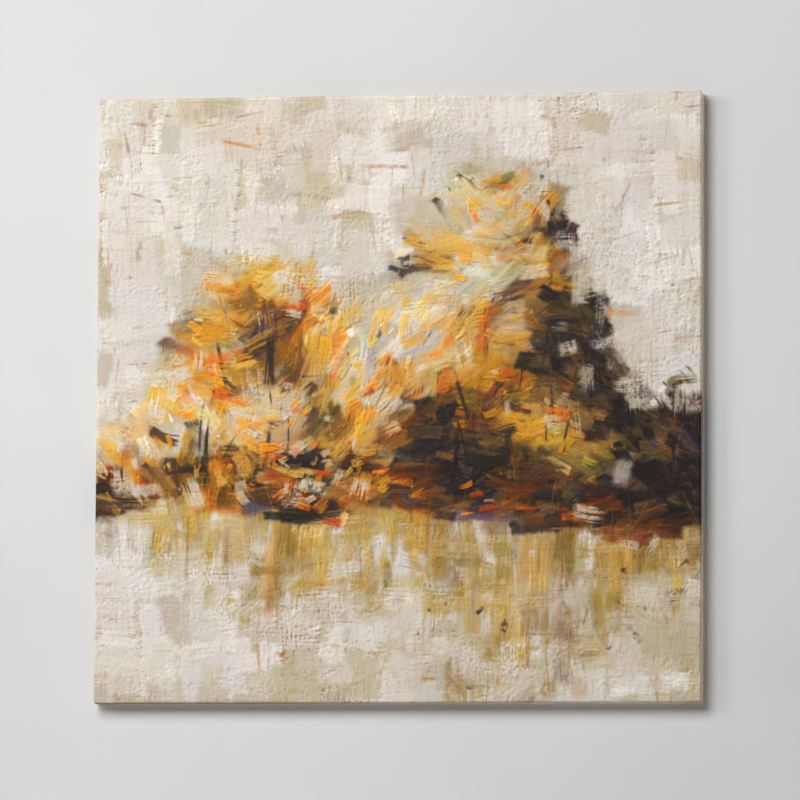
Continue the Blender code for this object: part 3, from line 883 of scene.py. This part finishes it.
def canvas_cloth(finish):
    """One cotton sheet: the face, four sides and a flap behind each bar, cut by hand."""
    rng = np.random.default_rng(CLOTH_SEED)
    half, face = HALF - UNDER_PAINT, FACE + UNDER_PAINT
    # Lines of points: about 7.5 mm apart over the sheet, and closer in a border at its edges
    border, inner_lines = 0.016, 157
    ease = np.array([0, 0.0003, 0.0008, 0.0016, 0.003, 0.0055, 0.010])
    inner = np.linspace(-half + border, half - border, inner_lines)
    along = np.concatenate([-half + ease, inner, (half - ease)[::-1]])
    grids = [cloth_face(along, face)]
    grids += [cloth_side(rng, quarter, along, half, face) for quarter in range(4)]
    parts = []
    for points, lift in grids:
        place, out = on_frame(points, half, face, ROUND - UNDER_PAINT)
        lifted = (place + out * lift[..., None]).reshape(-1, 3)
        parts.append((lifted, outward_faces(place, out)))
    points, faces = gathered(parts)
    points[:, 2] += MIDDLE
    mesh = mesh_from("canvas_cloth", *welded(points, faces))
    cloth = show("canvas_cloth", mesh, finish)
    skin = cloth.modifiers.new("Thickness", "SOLIDIFY")
    skin.thickness = CLOTH_THICK
    skin.offset = -1.0
    return cloth


def swept(path, section, across):
    """A rod along a path in one plane: section is its outline as (across, outwards) pairs."""
    path = np.asarray(path, float)
    across = np.asarray(across, float)
    ahead = np.gradient(path, axis=0)
    ahead /= np.linalg.norm(ahead, axis=1, keepdims=True)
    outwards = np.cross(across, ahead)
    rings = [place + section[:, :1] * across + section[:, 1:] * out
             for place, out in zip(path, outwards)]
    count, steps = len(section), len(path)
    ring, spot = np.meshgrid(np.arange(steps - 1), np.arange(count), indexing="ij")
    after = (spot + 1) % count
    faces = np.stack([ring * count + spot, ring * count + after,
                      (ring + 1) * count + after, (ring + 1) * count + spot], axis=-1)
    return np.concatenate(rings), faces.reshape(-1, 4)


def round_section(wide, tall, sides):
    """The outline of a rod with rounded corners."""
    turn = np.arange(sides) * 2 * math.pi / sides
    squarish = np.stack([np.cos(turn), np.sin(turn)], axis=1)
    squarish = np.sign(squarish) * np.abs(squarish) ** 0.6
    return squarish * (wide / 2, tall / 2)


def staple_spots(rng):
    """Where each staple lies: how far out and along its side, which side, and its angle."""
    spots = []
    inset, corner_clear = 0.0165, 0.045
    reach = int((HALF - corner_clear) / STAPLE_PITCH)
    for quarter in range(4):
        for step in range(-reach, reach + 1):
            out = HALF - inset + rng.normal(0, 0.0012)
            along = step * STAPLE_PITCH + rng.normal(0, 0.003)
            angle = rng.normal(0, 0.16)
            under_hanger = abs(along) < 0.065 and quarter == 1
            if not under_hanger:
                spots.append((out, along, quarter, angle))
    for quarter in range(4):
        spots.append((HALF - 0.012, HALF - 0.034, quarter, math.pi / 4 + rng.normal(0, 0.1)))
    return spots


def staple_wire():
    """A staple's wire from leg to leg, as (along the crown, height over it) pairs."""
    radius, reach = 0.0009, 0.006
    shoulder = [(reach - radius + radius * math.sin(turn), radius * math.cos(turn) - radius)
                for turn in np.linspace(0, math.pi / 2, 4)]
    half_wire = [(0.0, 0.0), (0.003, 0.0), *shoulder, (reach, -0.0045)]
    return [(-along, height) for along, height in reversed(half_wire[1:])] + half_wire


def staples(finish):
    """Staples 12 mm across, of flat wire 1.4 by 0.7 mm: a crown with two bent shoulders, driven
    into the bar."""
    rng = np.random.default_rng(STAPLE_SEED)
    section, wire = round_section(0.0014, 0.0007, 8), staple_wire()
    proud = 0.0009  # how far a staple stands off the flap before it is sunk
    parts = []
    for out, along, quarter, angle in staple_spots(rng):
        sunk = rng.uniform(0.0001, 0.0004)
        path = []
        for s, height in wire:
            x, z = turned(quarter, out - s * math.sin(angle), along + s * math.cos(angle))
            path.append((x, BACK + proud - sunk + height, z + MIDDLE))
        x, z = turned(quarter, math.cos(angle), math.sin(angle))
        parts.append(swept(path, section, (x, 0.0, z)))
    return show("staples", mesh_from("staples", *gathered(parts)), finish)


def loose_threads(finish, count=110):
    """Cotton threads that hang out of the hand-cut edge of the flaps."""
    rng = np.random.default_rng(THREAD_SEED)
    section = round_section(0.00045, 0.00045, 5)
    parts = []
    for _ in range(count):
        quarter = rng.integers(0, 4)
        along = rng.uniform(-HALF + FLAP + 0.01, HALF - FLAP - 0.01)
        length, curl, lean = rng.uniform(0.003, 0.013), rng.normal(0, 90), rng.normal(0, 0.7)
        steps = np.linspace(0, length, 7)
        heading = lean + curl * steps
        inwards = np.concatenate([[0], np.cumsum(np.cos(heading[1:]) * np.diff(steps))])
        sideways = np.concatenate([[0], np.cumsum(np.sin(heading[1:]) * np.diff(steps))])
        x, z = turned(quarter, HALF - FLAP + 0.0015 - inwards, along + sideways)
        y = BACK - 0.0002 - 0.3 * inwards * rng.uniform(0.0, 0.2)
        parts.append(swept(np.stack([x, y, z + MIDDLE], axis=1), section, (0.0, 1.0, 0.0)))
    mesh = mesh_from("loose_threads", *gathered(parts))
    return show("loose_threads", mesh, finish)


def felt_disc(rng, low, high):
    """A pressed disc with soft edges, a little uneven round its rim and on its back."""
    middle, radius, thick = (low + high) / 2, (high.x - low.x) / 2, high.y - low.y
    turns, ease = 72, 0.0006
    profile = [(0.0, 0.0), (0.35, 0.0), (0.7, 0.0), (0.9, 0.0), (1 - ease / radius, 0.0),
               (1.0, ease / thick), (1.01, 0.5), (1.0, 1 - ease / thick), (1 - ease / radius, 1.0),
               (0.6, 1.0), (0.0, 1.0)]
    turn = np.arange(turns) * 2 * math.pi / turns
    points = []
    for out, depth in profile:
        uneven = 1 + 0.012 * rng.normal(0, 1, turns) * (out > 0.9)
        y = high.y - depth * thick - 0.00012 * rng.random(turns) * (depth < 0.3)
        points.append(np.stack([middle.x + radius * out * uneven * np.cos(turn), y,
                                middle.z + radius * out * uneven * np.sin(turn)], axis=1))
    faces = grid_faces(len(profile), turns + 1)
    faces = faces // (turns + 1) * turns + faces % (turns + 1) % turns
    return np.concatenate(points), faces


def felt_hair(rng, low, high):
    """One short fibre that stands out of the disc's rim."""
    middle, radius, thick = (low + high) / 2, (high.x - low.x) / 2, high.y - low.y
    turn, depth, lift = rng.uniform(0, 2 * math.pi), rng.random(), rng.normal(0, 0.5)
    steps = np.linspace(0, rng.uniform(0.0006, 0.0018), 4)
    out = radius * 0.99 + steps
    bent = turn + steps * rng.normal(0, 60)
    y = high.y - 0.0001 - depth * (thick - 0.0002) + 0 * steps
    y = np.clip(y + lift * steps * 0.5, low.y, high.y)
    path = np.stack([middle.x + out * np.cos(bent), y, middle.z + out * np.sin(bent)], axis=1)
    return swept(path, round_section(0.00016, 0.00016, 3), (0.0, 1.0, 0.0))


def felt_bumper(name, node, finish, hairs=170):
    """A pressed felt disc, fuzzy at its cut edge, in its CAD node's place."""
    rng = np.random.default_rng(FELT_SEED + len(name))
    low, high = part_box(node)
    parts = [felt_disc(rng, low, high)]
    parts += [felt_hair(rng, low, high) for _ in range(hairs)]
    piece = show(name, mesh_from(name, *gathered(parts)), finish)
    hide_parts(node)
    return piece


# Finishes

def shade(text):
    """A hex colour as Blender's linear numbers."""
    return (*[float(part) for part in to_linear(srgb(text))], 1.0)


def finish_named(name, **settings):
    """A material with its shader's own sockets set, its node tree, and the shader."""
    made = bpy.data.materials.new(name)
    made.use_nodes = True
    shader = made.node_tree.nodes["Principled BSDF"]
    for socket, value in settings.items():
        shader.inputs[socket.replace("_", " ")].default_value = value
    return made, made.node_tree, shader


def add(tree, kind, inputs=None, stops=None, out=0, **settings):
    """Adds a node and gives back its output of the name or number out. The inputs are values or
    sockets by name or number, and stops are a ramp's (place, hex) pairs."""
    made = tree.nodes.new("ShaderNode" + kind)
    for name, value in settings.items():
        setattr(made, name, value)
    for name, value in (inputs or {}).items():
        if isinstance(value, bpy.types.NodeSocket):
            tree.links.new(value, made.inputs[name])
        else:
            made.inputs[name].default_value = value
    if stops:
        ramp = made.color_ramp
        while len(ramp.elements) < len(stops):
            ramp.elements.new(0.5)
        for element, (place, text) in zip(ramp.elements, stops):
            element.position = place
            element.color = shade(text)
    return made.outputs[out]


def feed(tree, shader, **results):
    """Links results to the shader's sockets of the same names."""
    for socket, result in results.items():
        tree.links.new(result, shader.inputs[socket.replace("_", " ")])


def bands(millimetres):
    """The wave texture's scale for lines that far apart."""
    return 2 * math.pi / 20 / (millimetres * 0.001)


def acrylic_paint():
    """Acrylic paint under a satin varnish: bristle marks and thread show through its gloss."""
    made, tree, shader = finish_named("acrylic_paint", IOR=1.45, Specular_IOR_Level=0.20)
    paint = add(tree, "Attribute", attribute_name="paint", out="Color")
    gloss = add(tree, "Attribute", attribute_name="gloss", out="Fac")
    place = add(tree, "TexCoord", out="Object")
    # Pigment mottled at 3 mm and 0.8 mm
    patches = add(tree, "TexNoise", {"Vector": place, "Scale": 330.0, "Detail": 3.0}, out="Fac")
    fine = add(tree, "TexNoise", {"Vector": place, "Scale": 1250.0, "Detail": 2.0}, out="Fac")
    value = add(tree, "MapRange", {"Value": patches, 1: 0.25, 2: 0.75, 3: 0.93, 4: 1.07})
    speckle = add(tree, "MapRange", {"Value": fine, 1: 0.2, 2: 0.8, 3: 0.96, 4: 1.04})
    value = add(tree, "Math", {0: value, 1: speckle}, operation="MULTIPLY")
    toned = add(tree, "VectorMath", {0: paint, "Scale": value}, operation="SCALE")
    # Thin paint is duller than thick
    rough = add(tree, "MapRange", {"Value": gloss, 3: 0.66, 4: 0.46})
    uneven = add(tree, "MapRange", {"Value": fine, 3: -0.07, 4: 0.07})
    rough = add(tree, "Math", {0: rough, 1: uneven}, operation="ADD")
    # Canvas thread is 0.45 mm; it is drawn at 1.4 mm so that it shows
    thread = {"Vector": place, "Scale": bands(1.4), "Distortion": 1.2, "Detail": 1.0}
    weft = add(tree, "TexWave", thread, bands_direction="X", out="Fac")
    warp = add(tree, "TexWave", thread, bands_direction="Z", out="Fac")
    weave = add(tree, "Math", {0: weft, 1: warp}, operation="MULTIPLY")
    thin = add(tree, "Math", {0: 1.0, 1: gloss}, operation="SUBTRACT", use_clamp=True)
    weave = add(tree, "Math", {0: weave, 1: thin}, operation="MULTIPLY")
    woven = add(tree, "Bump", {"Strength": 0.6, "Distance": 0.00012, "Height": weave})
    bumped = add(tree, "Bump", {"Strength": 0.7, "Distance": 0.0002, "Height": patches, "Normal": woven})
    feed(tree, shader, Base_Color=toned, Roughness=rough, Normal=bumped)
    return made


def yarn_slubs(tree, place):
    """Slubs: thick yarn for some 30 mm, 1.5 mm wide, lying both ways."""
    level = add(tree, "Mapping", {"Vector": place, "Scale": (33.0, 33.0, 650.0)})
    upright = add(tree, "Mapping", {"Vector": place, "Scale": (650.0, 33.0, 33.0)})
    level = add(tree, "TexNoise", {"Vector": level, "Scale": 1.0, "Detail": 1.0}, out="Fac")
    upright = add(tree, "TexNoise", {"Vector": upright, "Scale": 1.0, "Detail": 1.0}, out="Fac")
    slubs = add(tree, "Math", {0: level, 1: upright}, operation="MAXIMUM")
    return add(tree, "MapRange", {"Value": slubs, 1: 0.50, 2: 0.78})


def raw_cotton():
    """Unbleached cotton duck, plain-woven: matt, warm, with slubs and flecks of seed."""
    made, tree, shader = finish_named("raw_cotton_duck", IOR=1.5, Sheen_Weight=0.25, Sheen_Roughness=0.5)
    place = add(tree, "TexCoord", out="Object")
    # Threads are 0.6 mm apart; they are drawn at 1.6 mm so that the weave shows
    thread = {"Vector": place, "Scale": bands(1.6), "Distortion": 1.6, "Detail": 2.0, "Detail Scale": 0.6}
    warp = add(tree, "TexWave", thread, bands_direction="X", out="Fac")
    weft = add(tree, "TexWave", thread, bands_direction="Z", out="Fac")
    weave = add(tree, "Math", {0: warp, 1: weft}, operation="MULTIPLY")
    slubs = yarn_slubs(tree, place)
    # Clouded over some 0.15 m, paler on the slubs, and darker between the threads as painted shade
    stains = add(tree, "TexNoise", {"Vector": place, "Scale": 7.0, "Detail": 4.0}, out="Fac")
    colour = add(tree, "ValToRGB", {"Fac": stains}, stops=[
        (0.30, "#c9b896"), (0.52, "#d6c8ab"), (0.72, "#ddd2ba")])
    # Painted shade between the threads
    share = add(tree, "MapRange", {"Value": weave, 3: 0.45, 4: 0.0})
    colour = add(tree, "Mix", {0: share, 6: colour, 7: shade("#a08c66")}, data_type="RGBA", out=2)
    share = add(tree, "MapRange", {"Value": slubs, 3: 0.0, 4: 0.35})
    colour = add(tree, "Mix", {0: share, 6: colour, 7: shade("#efe6d2")}, data_type="RGBA", out=2)
    # Specks of seed 1 mm wide, about 17 mm apart
    seeds = add(tree, "TexVoronoi", {"Vector": place, "Scale": 60.0}, out="Distance")
    seeds = add(tree, "MapRange", {"Value": seeds, 1: 0.025, 2: 0.05, 3: 0.7, 4: 0.0})
    colour = add(tree, "Mix", {0: seeds, 6: colour, 7: shade("#6b5436")}, data_type="RGBA", out=2)
    rough = add(tree, "MapRange", {"Value": slubs, 3: 0.92, 4: 0.80})
    height = add(tree, "Math", {0: weave, 1: slubs}, operation="ADD")
    bumped = add(tree, "Bump", {"Strength": 0.9, "Distance": 0.0004, "Height": height})
    feed(tree, shader, Base_Color=colour, Roughness=rough, Normal=bumped)
    return made


def along_grain(upright):
    """The turn that lays a wood's pattern along an upright piece or a level one."""
    return 0.0, math.pi / 2 if upright else 0.0, 0.0


def pine_knots(tree, wood):
    """Knots of 6 to 15 mm, about four to a bar: where they are, where their dark hearts are, and
    how far the growth lines swing round them."""
    spots = add(tree, "Mapping", {"Vector": wood, "Scale": (6.0, 3.0, 14.0)})
    spots = add(tree, "TexVoronoi", {"Vector": spots, "Scale": 1.0}, out="Distance")
    knot = add(tree, "MapRange", {"Value": spots, 1: 0.07, 2: 0.12, 3: 1.0, 4: 0.0})
    heart = add(tree, "MapRange", {"Value": spots, 1: 0.0, 2: 0.08, 3: 1.0, 4: 0.0})
    swirl = add(tree, "MapRange", {"Value": spots, 1: 0.05, 2: 0.5, 3: 14.0, 4: 0.0},
                interpolation_type="SMOOTHSTEP")
    return knot, heart, swirl


def growth_lines(tree, wood, swirl):
    """Lines about 4 mm apart that wander over some 0.5 m: their rise and fall, and their colour."""
    drawn = add(tree, "Mapping", {"Vector": wood, "Scale": (0.07, 1.0, 1.0)})
    rings = add(tree, "TexWave", {
        "Vector": drawn, "Scale": bands(4.2), "Distortion": 9.0, "Detail": 2.0, "Detail Scale": 0.30,
        "Phase Offset": swirl}, bands_direction="Z", wave_profile="SAW", out="Fac")
    return rings, add(tree, "ValToRGB", {"Fac": rings}, stops=[
        (0.0, "#e3d0ac"), (0.45, "#dcc69e"), (0.82, "#cba97b"), (0.95, "#b68d60"), (1.0, "#e0cba4")])


def planed_pine(name, upright, shift, tint):
    """Planed pine: satin and straw-coloured, with brown growth lines along it and small knots."""
    made, tree, shader = finish_named(name, IOR=1.5)
    place = add(tree, "TexCoord", out="Object")
    turn = along_grain(upright)
    wood = add(tree, "Mapping", {"Vector": place, "Rotation": turn, "Location": shift})
    # The growth lines lie at a slant through the bar, so that they show on all its faces
    slant = add(tree, "Mapping", {"Vector": wood, "Rotation": (0.65, 0.0, 0.0)})
    knot, heart, swirl = pine_knots(tree, wood)
    rings, lines = growth_lines(tree, slant, swirl)
    # Fibres 0.6 mm wide and 25 mm long
    fibre = add(tree, "Mapping", {"Vector": wood, "Scale": (40.0, 1600.0, 1600.0)})
    fibre = add(tree, "TexNoise", {"Vector": fibre, "Scale": 1.0, "Detail": 2.0}, out="Fac")
    value = add(tree, "MapRange", {"Value": fibre, 1: 0.25, 2: 0.75, 3: 0.88, 4: 1.08})
    # Broad light and dark over 0.2 m
    broad = add(tree, "TexNoise", {"Vector": wood, "Scale": 5.0, "Detail": 2.0}, out="Fac")
    broad = add(tree, "MapRange", {"Value": broad, 1: 0.3, 2: 0.7, 3: 0.92, 4: 1.06})
    value = add(tree, "Math", {0: value, 1: broad}, operation="MULTIPLY")
    colour = add(tree, "VectorMath", {0: lines, "Scale": value}, operation="SCALE")
    colour = add(tree, "Mix", {0: 1.0, 6: colour, 7: shade(tint)}, data_type="RGBA",
                 blend_type="MULTIPLY", out=2)
    colour = add(tree, "Mix", {0: knot, 6: colour, 7: shade("#8f6540")}, data_type="RGBA", out=2)
    colour = add(tree, "Mix", {0: heart, 6: colour, 7: shade("#4f3220")}, data_type="RGBA", out=2)
    rough = add(tree, "MapRange", {"Value": fibre, 1: 0.2, 2: 0.8, 3: 0.50, 4: 0.68})
    relief = add(tree, "Math", {0: rings, 1: fibre}, operation="ADD")
    bumped = add(tree, "Bump", {"Strength": 0.5, "Distance": 0.00015, "Height": relief})
    feed(tree, shader, Base_Color=colour, Roughness=rough, Normal=bumped)
    return made


def beech(name, upright):
    """Beech: close, pinkish tan, with short dark flecks along it."""
    made, tree, shader = finish_named(name, IOR=1.5)
    place = add(tree, "TexCoord", out="Object")
    wood = add(tree, "Mapping", {"Vector": place, "Rotation": along_grain(upright)})
    # Flecks 3 mm long and 0.5 mm wide
    flecks = add(tree, "Mapping", {"Vector": wood, "Scale": (330.0, 2000.0, 2000.0)})
    flecks = add(tree, "TexNoise", {"Vector": flecks, "Scale": 1.0, "Detail": 1.0}, out="Fac")
    # Broad light and dark, 50 mm long and 6 mm wide
    broad = add(tree, "Mapping", {"Vector": wood, "Scale": (20.0, 160.0, 160.0)})
    broad = add(tree, "TexNoise", {"Vector": broad, "Scale": 1.0, "Detail": 2.0}, out="Fac")
    colour = add(tree, "ValToRGB", {"Fac": broad}, stops=[
        (0.3, "#b98556"), (0.5, "#c89668"), (0.7, "#d3a578")])
    share = add(tree, "MapRange", {"Value": flecks, 1: 0.56, 2: 0.68, 3: 0.0, 4: 0.6})
    colour = add(tree, "Mix", {0: share, 6: colour, 7: shade("#87572f")}, data_type="RGBA", out=2)
    rough = add(tree, "MapRange", {"Value": flecks, 3: 0.45, 4: 0.65})
    bumped = add(tree, "Bump", {"Strength": 0.4, "Distance": 0.0001, "Height": flecks})
    feed(tree, shader, Base_Color=colour, Roughness=rough, Normal=bumped)
    return made


def plated_steel(name, bright, dull, low, high):
    """Pressed steel with a thin zinc plating: grey metal, cloudy and lightly rubbed."""
    made, tree, shader = finish_named(name, Metallic=1.0)
    place = add(tree, "TexCoord", out="Object")
    # Clouding over 4 mm, and rub marks 0.3 mm wide and 8 mm long
    cloudy = add(tree, "TexNoise", {"Vector": place, "Scale": 250.0, "Detail": 4.0}, out="Fac")
    rubs = add(tree, "Mapping", {"Vector": place, "Rotation": (0.0, 0.5, 0.0),
                                 "Scale": (125.0, 3300.0, 3300.0)})
    rubs = add(tree, "TexNoise", {"Vector": rubs, "Scale": 1.0, "Detail": 1.0}, out="Fac")
    colour = add(tree, "ValToRGB", {"Fac": cloudy}, stops=[(0.32, dull), (0.62, bright)])
    rough = add(tree, "MapRange", {"Value": cloudy, 1: 0.3, 2: 0.7, 3: high, 4: low})
    rubbed = add(tree, "MapRange", {"Value": rubs, 1: 0.5, 2: 0.7, 3: 0.0, 4: 0.12})
    rough = add(tree, "Math", {0: rough, 1: rubbed}, operation="ADD")
    bumped = add(tree, "Bump", {"Strength": 0.3, "Distance": 0.00005, "Height": rubs})
    feed(tree, shader, Base_Color=colour, Roughness=rough, Normal=bumped)
    return made


def pressed_felt():
    """Charcoal wool felt: matt, matted fibres with a soft halo at the edge."""
    made, tree, shader = finish_named("pressed_felt", IOR=1.5, Sheen_Weight=0.5, Sheen_Roughness=0.4)
    place = add(tree, "TexCoord", out="Object")
    # Fibres are 0.03 mm; they are drawn as tufts of 0.5 mm
    tufts = add(tree, "TexNoise", {"Vector": place, "Scale": 2000.0, "Detail": 3.0, "Distortion": 1.5},
                out="Fac")
    colour = add(tree, "ValToRGB", {"Fac": tufts}, stops=[
        (0.3, "#1f2023"), (0.55, "#303136"), (0.75, "#4a4b50")])
    rough = add(tree, "MapRange", {"Value": tufts, 3: 0.98, 4: 0.88})
    bumped = add(tree, "Bump", {"Strength": 1.0, "Distance": 0.0003, "Height": tufts})
    feed(tree, shader, Base_Color=colour, Roughness=rough, Normal=bumped)
    return made


# CAD pieces in their own finishes

def finish_node(name, finish, ease):
    """A CAD piece in its finish, with its edges eased."""
    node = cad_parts[name]
    node.data.materials.clear()
    node.data.materials.append(finish)
    weld = node.modifiers.new("Weld", "WELD")
    weld.merge_threshold = 0.00001
    bevel = node.modifiers.new("Eased edges", "BEVEL")
    bevel.width = ease
    bevel.segments = 2
    bevel.limit_method = "ANGLE"
    bevel.angle_limit = math.radians(40)
    bevel.harden_normals = True


def finish_bars():
    """Each bar is cut from another part of the wood and has its own slight tint."""
    tints = {"top": "#ffffff", "right": "#fff3e2", "bottom": "#fffaf0", "left": "#f9eedd"}
    for step, (name, tint) in enumerate(tints.items()):
        upright = name in ("left", "right")
        shift = (0.37 * step, 0.11 * step, 0.23 * step)
        finish_node(f"bar_{name}", planed_pine(f"planed_pine_{name}", upright, shift, tint), 0.0006)


def finish_braces():
    upright = planed_pine("planed_pine_upright_brace", True, (1.9, 0.5, 0.9), "#fff7ea")
    finish_node("brace_upright", upright, 0.0008)
    level = planed_pine("planed_pine_level_brace", False, (2.6, 0.7, 0.4), "#f7ead6")
    finish_node("brace_level", level, 0.0008)


def finish_keys():
    level, upright = beech("beech_level", False), beech("beech_upright", True)
    for name, wood in {"top": upright, "bottom": upright, "left": level, "right": level}.items():
        finish_node(f"key_{name}_a", wood, 0.0004)
        finish_node(f"key_{name}_b", wood, 0.0004)


def finish_metal():
    plated = plated_steel("zinc_plated_strip", "#c6c7c5", "#9a9b97", 0.28, 0.45)
    nails = plated_steel("zinc_plated_nail", "#b9b9b5", "#86867f", 0.30, 0.50)
    finish_node("sawtooth_hanger", plated, 0.0002)
    finish_node("hanger_nail_left", nails, 0.0001)
    finish_node("hanger_nail_right", nails, 0.0001)


# Room

def plane(name, corners, finish):
    """A flat piece of the stage."""
    mesh = bpy.data.meshes.new(name)
    mesh.from_pydata(corners, [], [(0, 1, 2, 3)])
    mesh.materials.append(finish)
    made = bpy.data.objects.new(name, mesh)
    bpy.context.scene.collection.objects.link(made)
    return made


def wall_paint():
    """Matt emulsion on the side that the picture hangs on; the other side lets the view in."""
    made, tree, shader = finish_named("wall_emulsion", Roughness=0.9)
    place = add(tree, "TexCoord", out="Object")
    uneven = add(tree, "TexNoise", {"Vector": place, "Scale": 1.2, "Detail": 3.0}, out="Fac")
    colour = add(tree, "ValToRGB", {"Fac": uneven}, stops=[(0.35, "#d8d8d8"), (0.65, "#dedede")])
    feed(tree, shader, Base_Color=colour)
    behind = add(tree, "NewGeometry", out="Backfacing")
    clear = add(tree, "BsdfTransparent")
    seen = add(tree, "MixShader", {0: behind, 1: shader.outputs[0], 2: clear})
    tree.links.new(seen, tree.nodes["Material Output"].inputs["Surface"])
    return made


def floor_paint():
    """A pale floor, mostly of its own even light, so that it neither glares nor falls dark, and
    throws little light back on the picture."""
    made, tree, shader = finish_named("pale_floor", Roughness=0.7, Emission_Color=shade("#dededc"))
    place = add(tree, "TexCoord", out="Object")
    uneven = add(tree, "TexNoise", {"Vector": place, "Scale": 0.8, "Detail": 3.0}, out="Fac")
    colour = add(tree, "ValToRGB", {"Fac": uneven}, stops=[(0.35, "#a2a2a1"), (0.65, "#a8a8a7")])
    seen = add(tree, "LightPath", out="Is Camera Ray")
    glow = add(tree, "Math", {0: seen, 1: 0.62}, operation="MULTIPLY")
    feed(tree, shader, Base_Color=colour, Emission_Strength=glow)
    return made


def sky():
    """Soft daylight from all round, brighter where the camera sees it than where it lights."""
    world = bpy.data.worlds.new("soft_daylight")
    world.use_nodes = True
    tree = world.node_tree
    background = tree.nodes["Background"]
    background.inputs["Color"].default_value = shade("#f2f2f2")
    seen = add(tree, "LightPath", out="Is Camera Ray")
    bright = add(tree, "MapRange", {"Value": seen, 3: 0.11, 4: 0.75})
    feed(tree, background, Strength=bright)
    bpy.context.scene.world = world


def room():
    """A bare wall just behind the picture and a wide floor below it, under an even sky."""
    wide, floor, high, far, gap = 3.2, -2.26, 2.3, 14.0, 0.0006
    wall = plane("wall", [(-wide, gap, floor), (wide, gap, floor), (wide, gap, high), (-wide, gap, high)],
                 wall_paint())
    plane("floor", [(-far, -far, floor), (far, -far, floor), (far, far, floor), (-far, far, floor)],
          floor_paint())
    sky()
    return wall


def area_light(name, place, size, watts):
    """A square soft light that faces the picture's middle and isn't seen itself."""
    lamp = bpy.data.lights.new(name, "AREA")
    lamp.shape = "SQUARE"
    lamp.size = size
    lamp.energy = watts
    made = bpy.data.objects.new(name, lamp)
    made.location = place
    towards = Vector((0.0, 0.0, MIDDLE)) - made.location
    made.rotation_euler = towards.to_track_quat("-Z", "Y").to_euler()
    made.visible_camera = False
    bpy.context.scene.collection.objects.link(made)
    return made


def shine_past(lamps, wall):
    """Lets the lamps behind the wall light the picture's back as if the wall weren't there."""
    passed = bpy.data.collections.new("not_shading_the_back")
    passed.objects.link(wall)
    passed.collection_objects[0].light_linking.link_state = "EXCLUDE"
    for lamp in lamps:
        lamp.light_linking.blocker_collection = passed


def lights(wall):
    """Two in front, to the left, and three behind that reach the picture's back through the wall."""
    area_light("key", (-1.4, -4.8, 1.6), 2.6, 228.0)
    area_light("window", (-6.6, -5.6, 1.4), 2.2, 165.0)
    shine_past([
        area_light("behind_right", (3.2, 3.2, 1.6), 3.0, 130.0),
        area_light("behind_left", (-2.6, 3.6, 0.4), 3.0, 80.0),
        area_light("behind_low", (0.6, 3.4, -1.6), 2.4, 40.0),
    ], wall)


def tone():
    """Colours come out as mixed, with no film curve over them."""
    bpy.context.scene.view_settings.view_transform = "Standard"


def camera():
    """Looks at the picture from far off, a little to its right and below, so that its right and
    lower sides just show and it still looks square. A slight roll keeps its lower edge level."""
    made = bpy.data.objects.new("camera", bpy.data.cameras.new("camera"))
    made.data.lens = 297.0
    right, below, roll, far = math.radians(8.0), math.radians(6.0), math.radians(0.35), 13.0
    aim = Vector((0.003, -0.02, MIDDLE - 0.003))
    flat, down = far * math.cos(below), far * math.sin(below)
    made.location = aim + Vector((flat * math.sin(right), -flat * math.cos(right), -down))
    made.rotation_euler = (aim - made.location).to_track_quat("-Z", "Y").to_euler()
    made.rotation_euler.rotate_axis("Z", roll)
    bpy.context.scene.collection.objects.link(made)
    bpy.context.scene.camera = made


def main():
    """Every piece that has no solid of its own or replaces one, the finishes, and the stage."""
    cotton = raw_cotton()
    paint = paint_pieces(painted_board(), acrylic_paint())
    cloth = canvas_cloth(cotton)
    threads = loose_threads(cotton)
    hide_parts("canvas")
    wire = plated_steel("galvanised_wire", "#a9aaa9", "#777877", 0.24, 0.40)
    staples(wire)
    felt = pressed_felt()
    felt_bumper("felt_bumper_left", "bumper_left", felt)
    felt_bumper("felt_bumper_right", "bumper_right", felt)
    finish_bars()
    finish_braces()
    finish_keys()
    finish_metal()
    lights(room())
    tone()
    camera()


main()
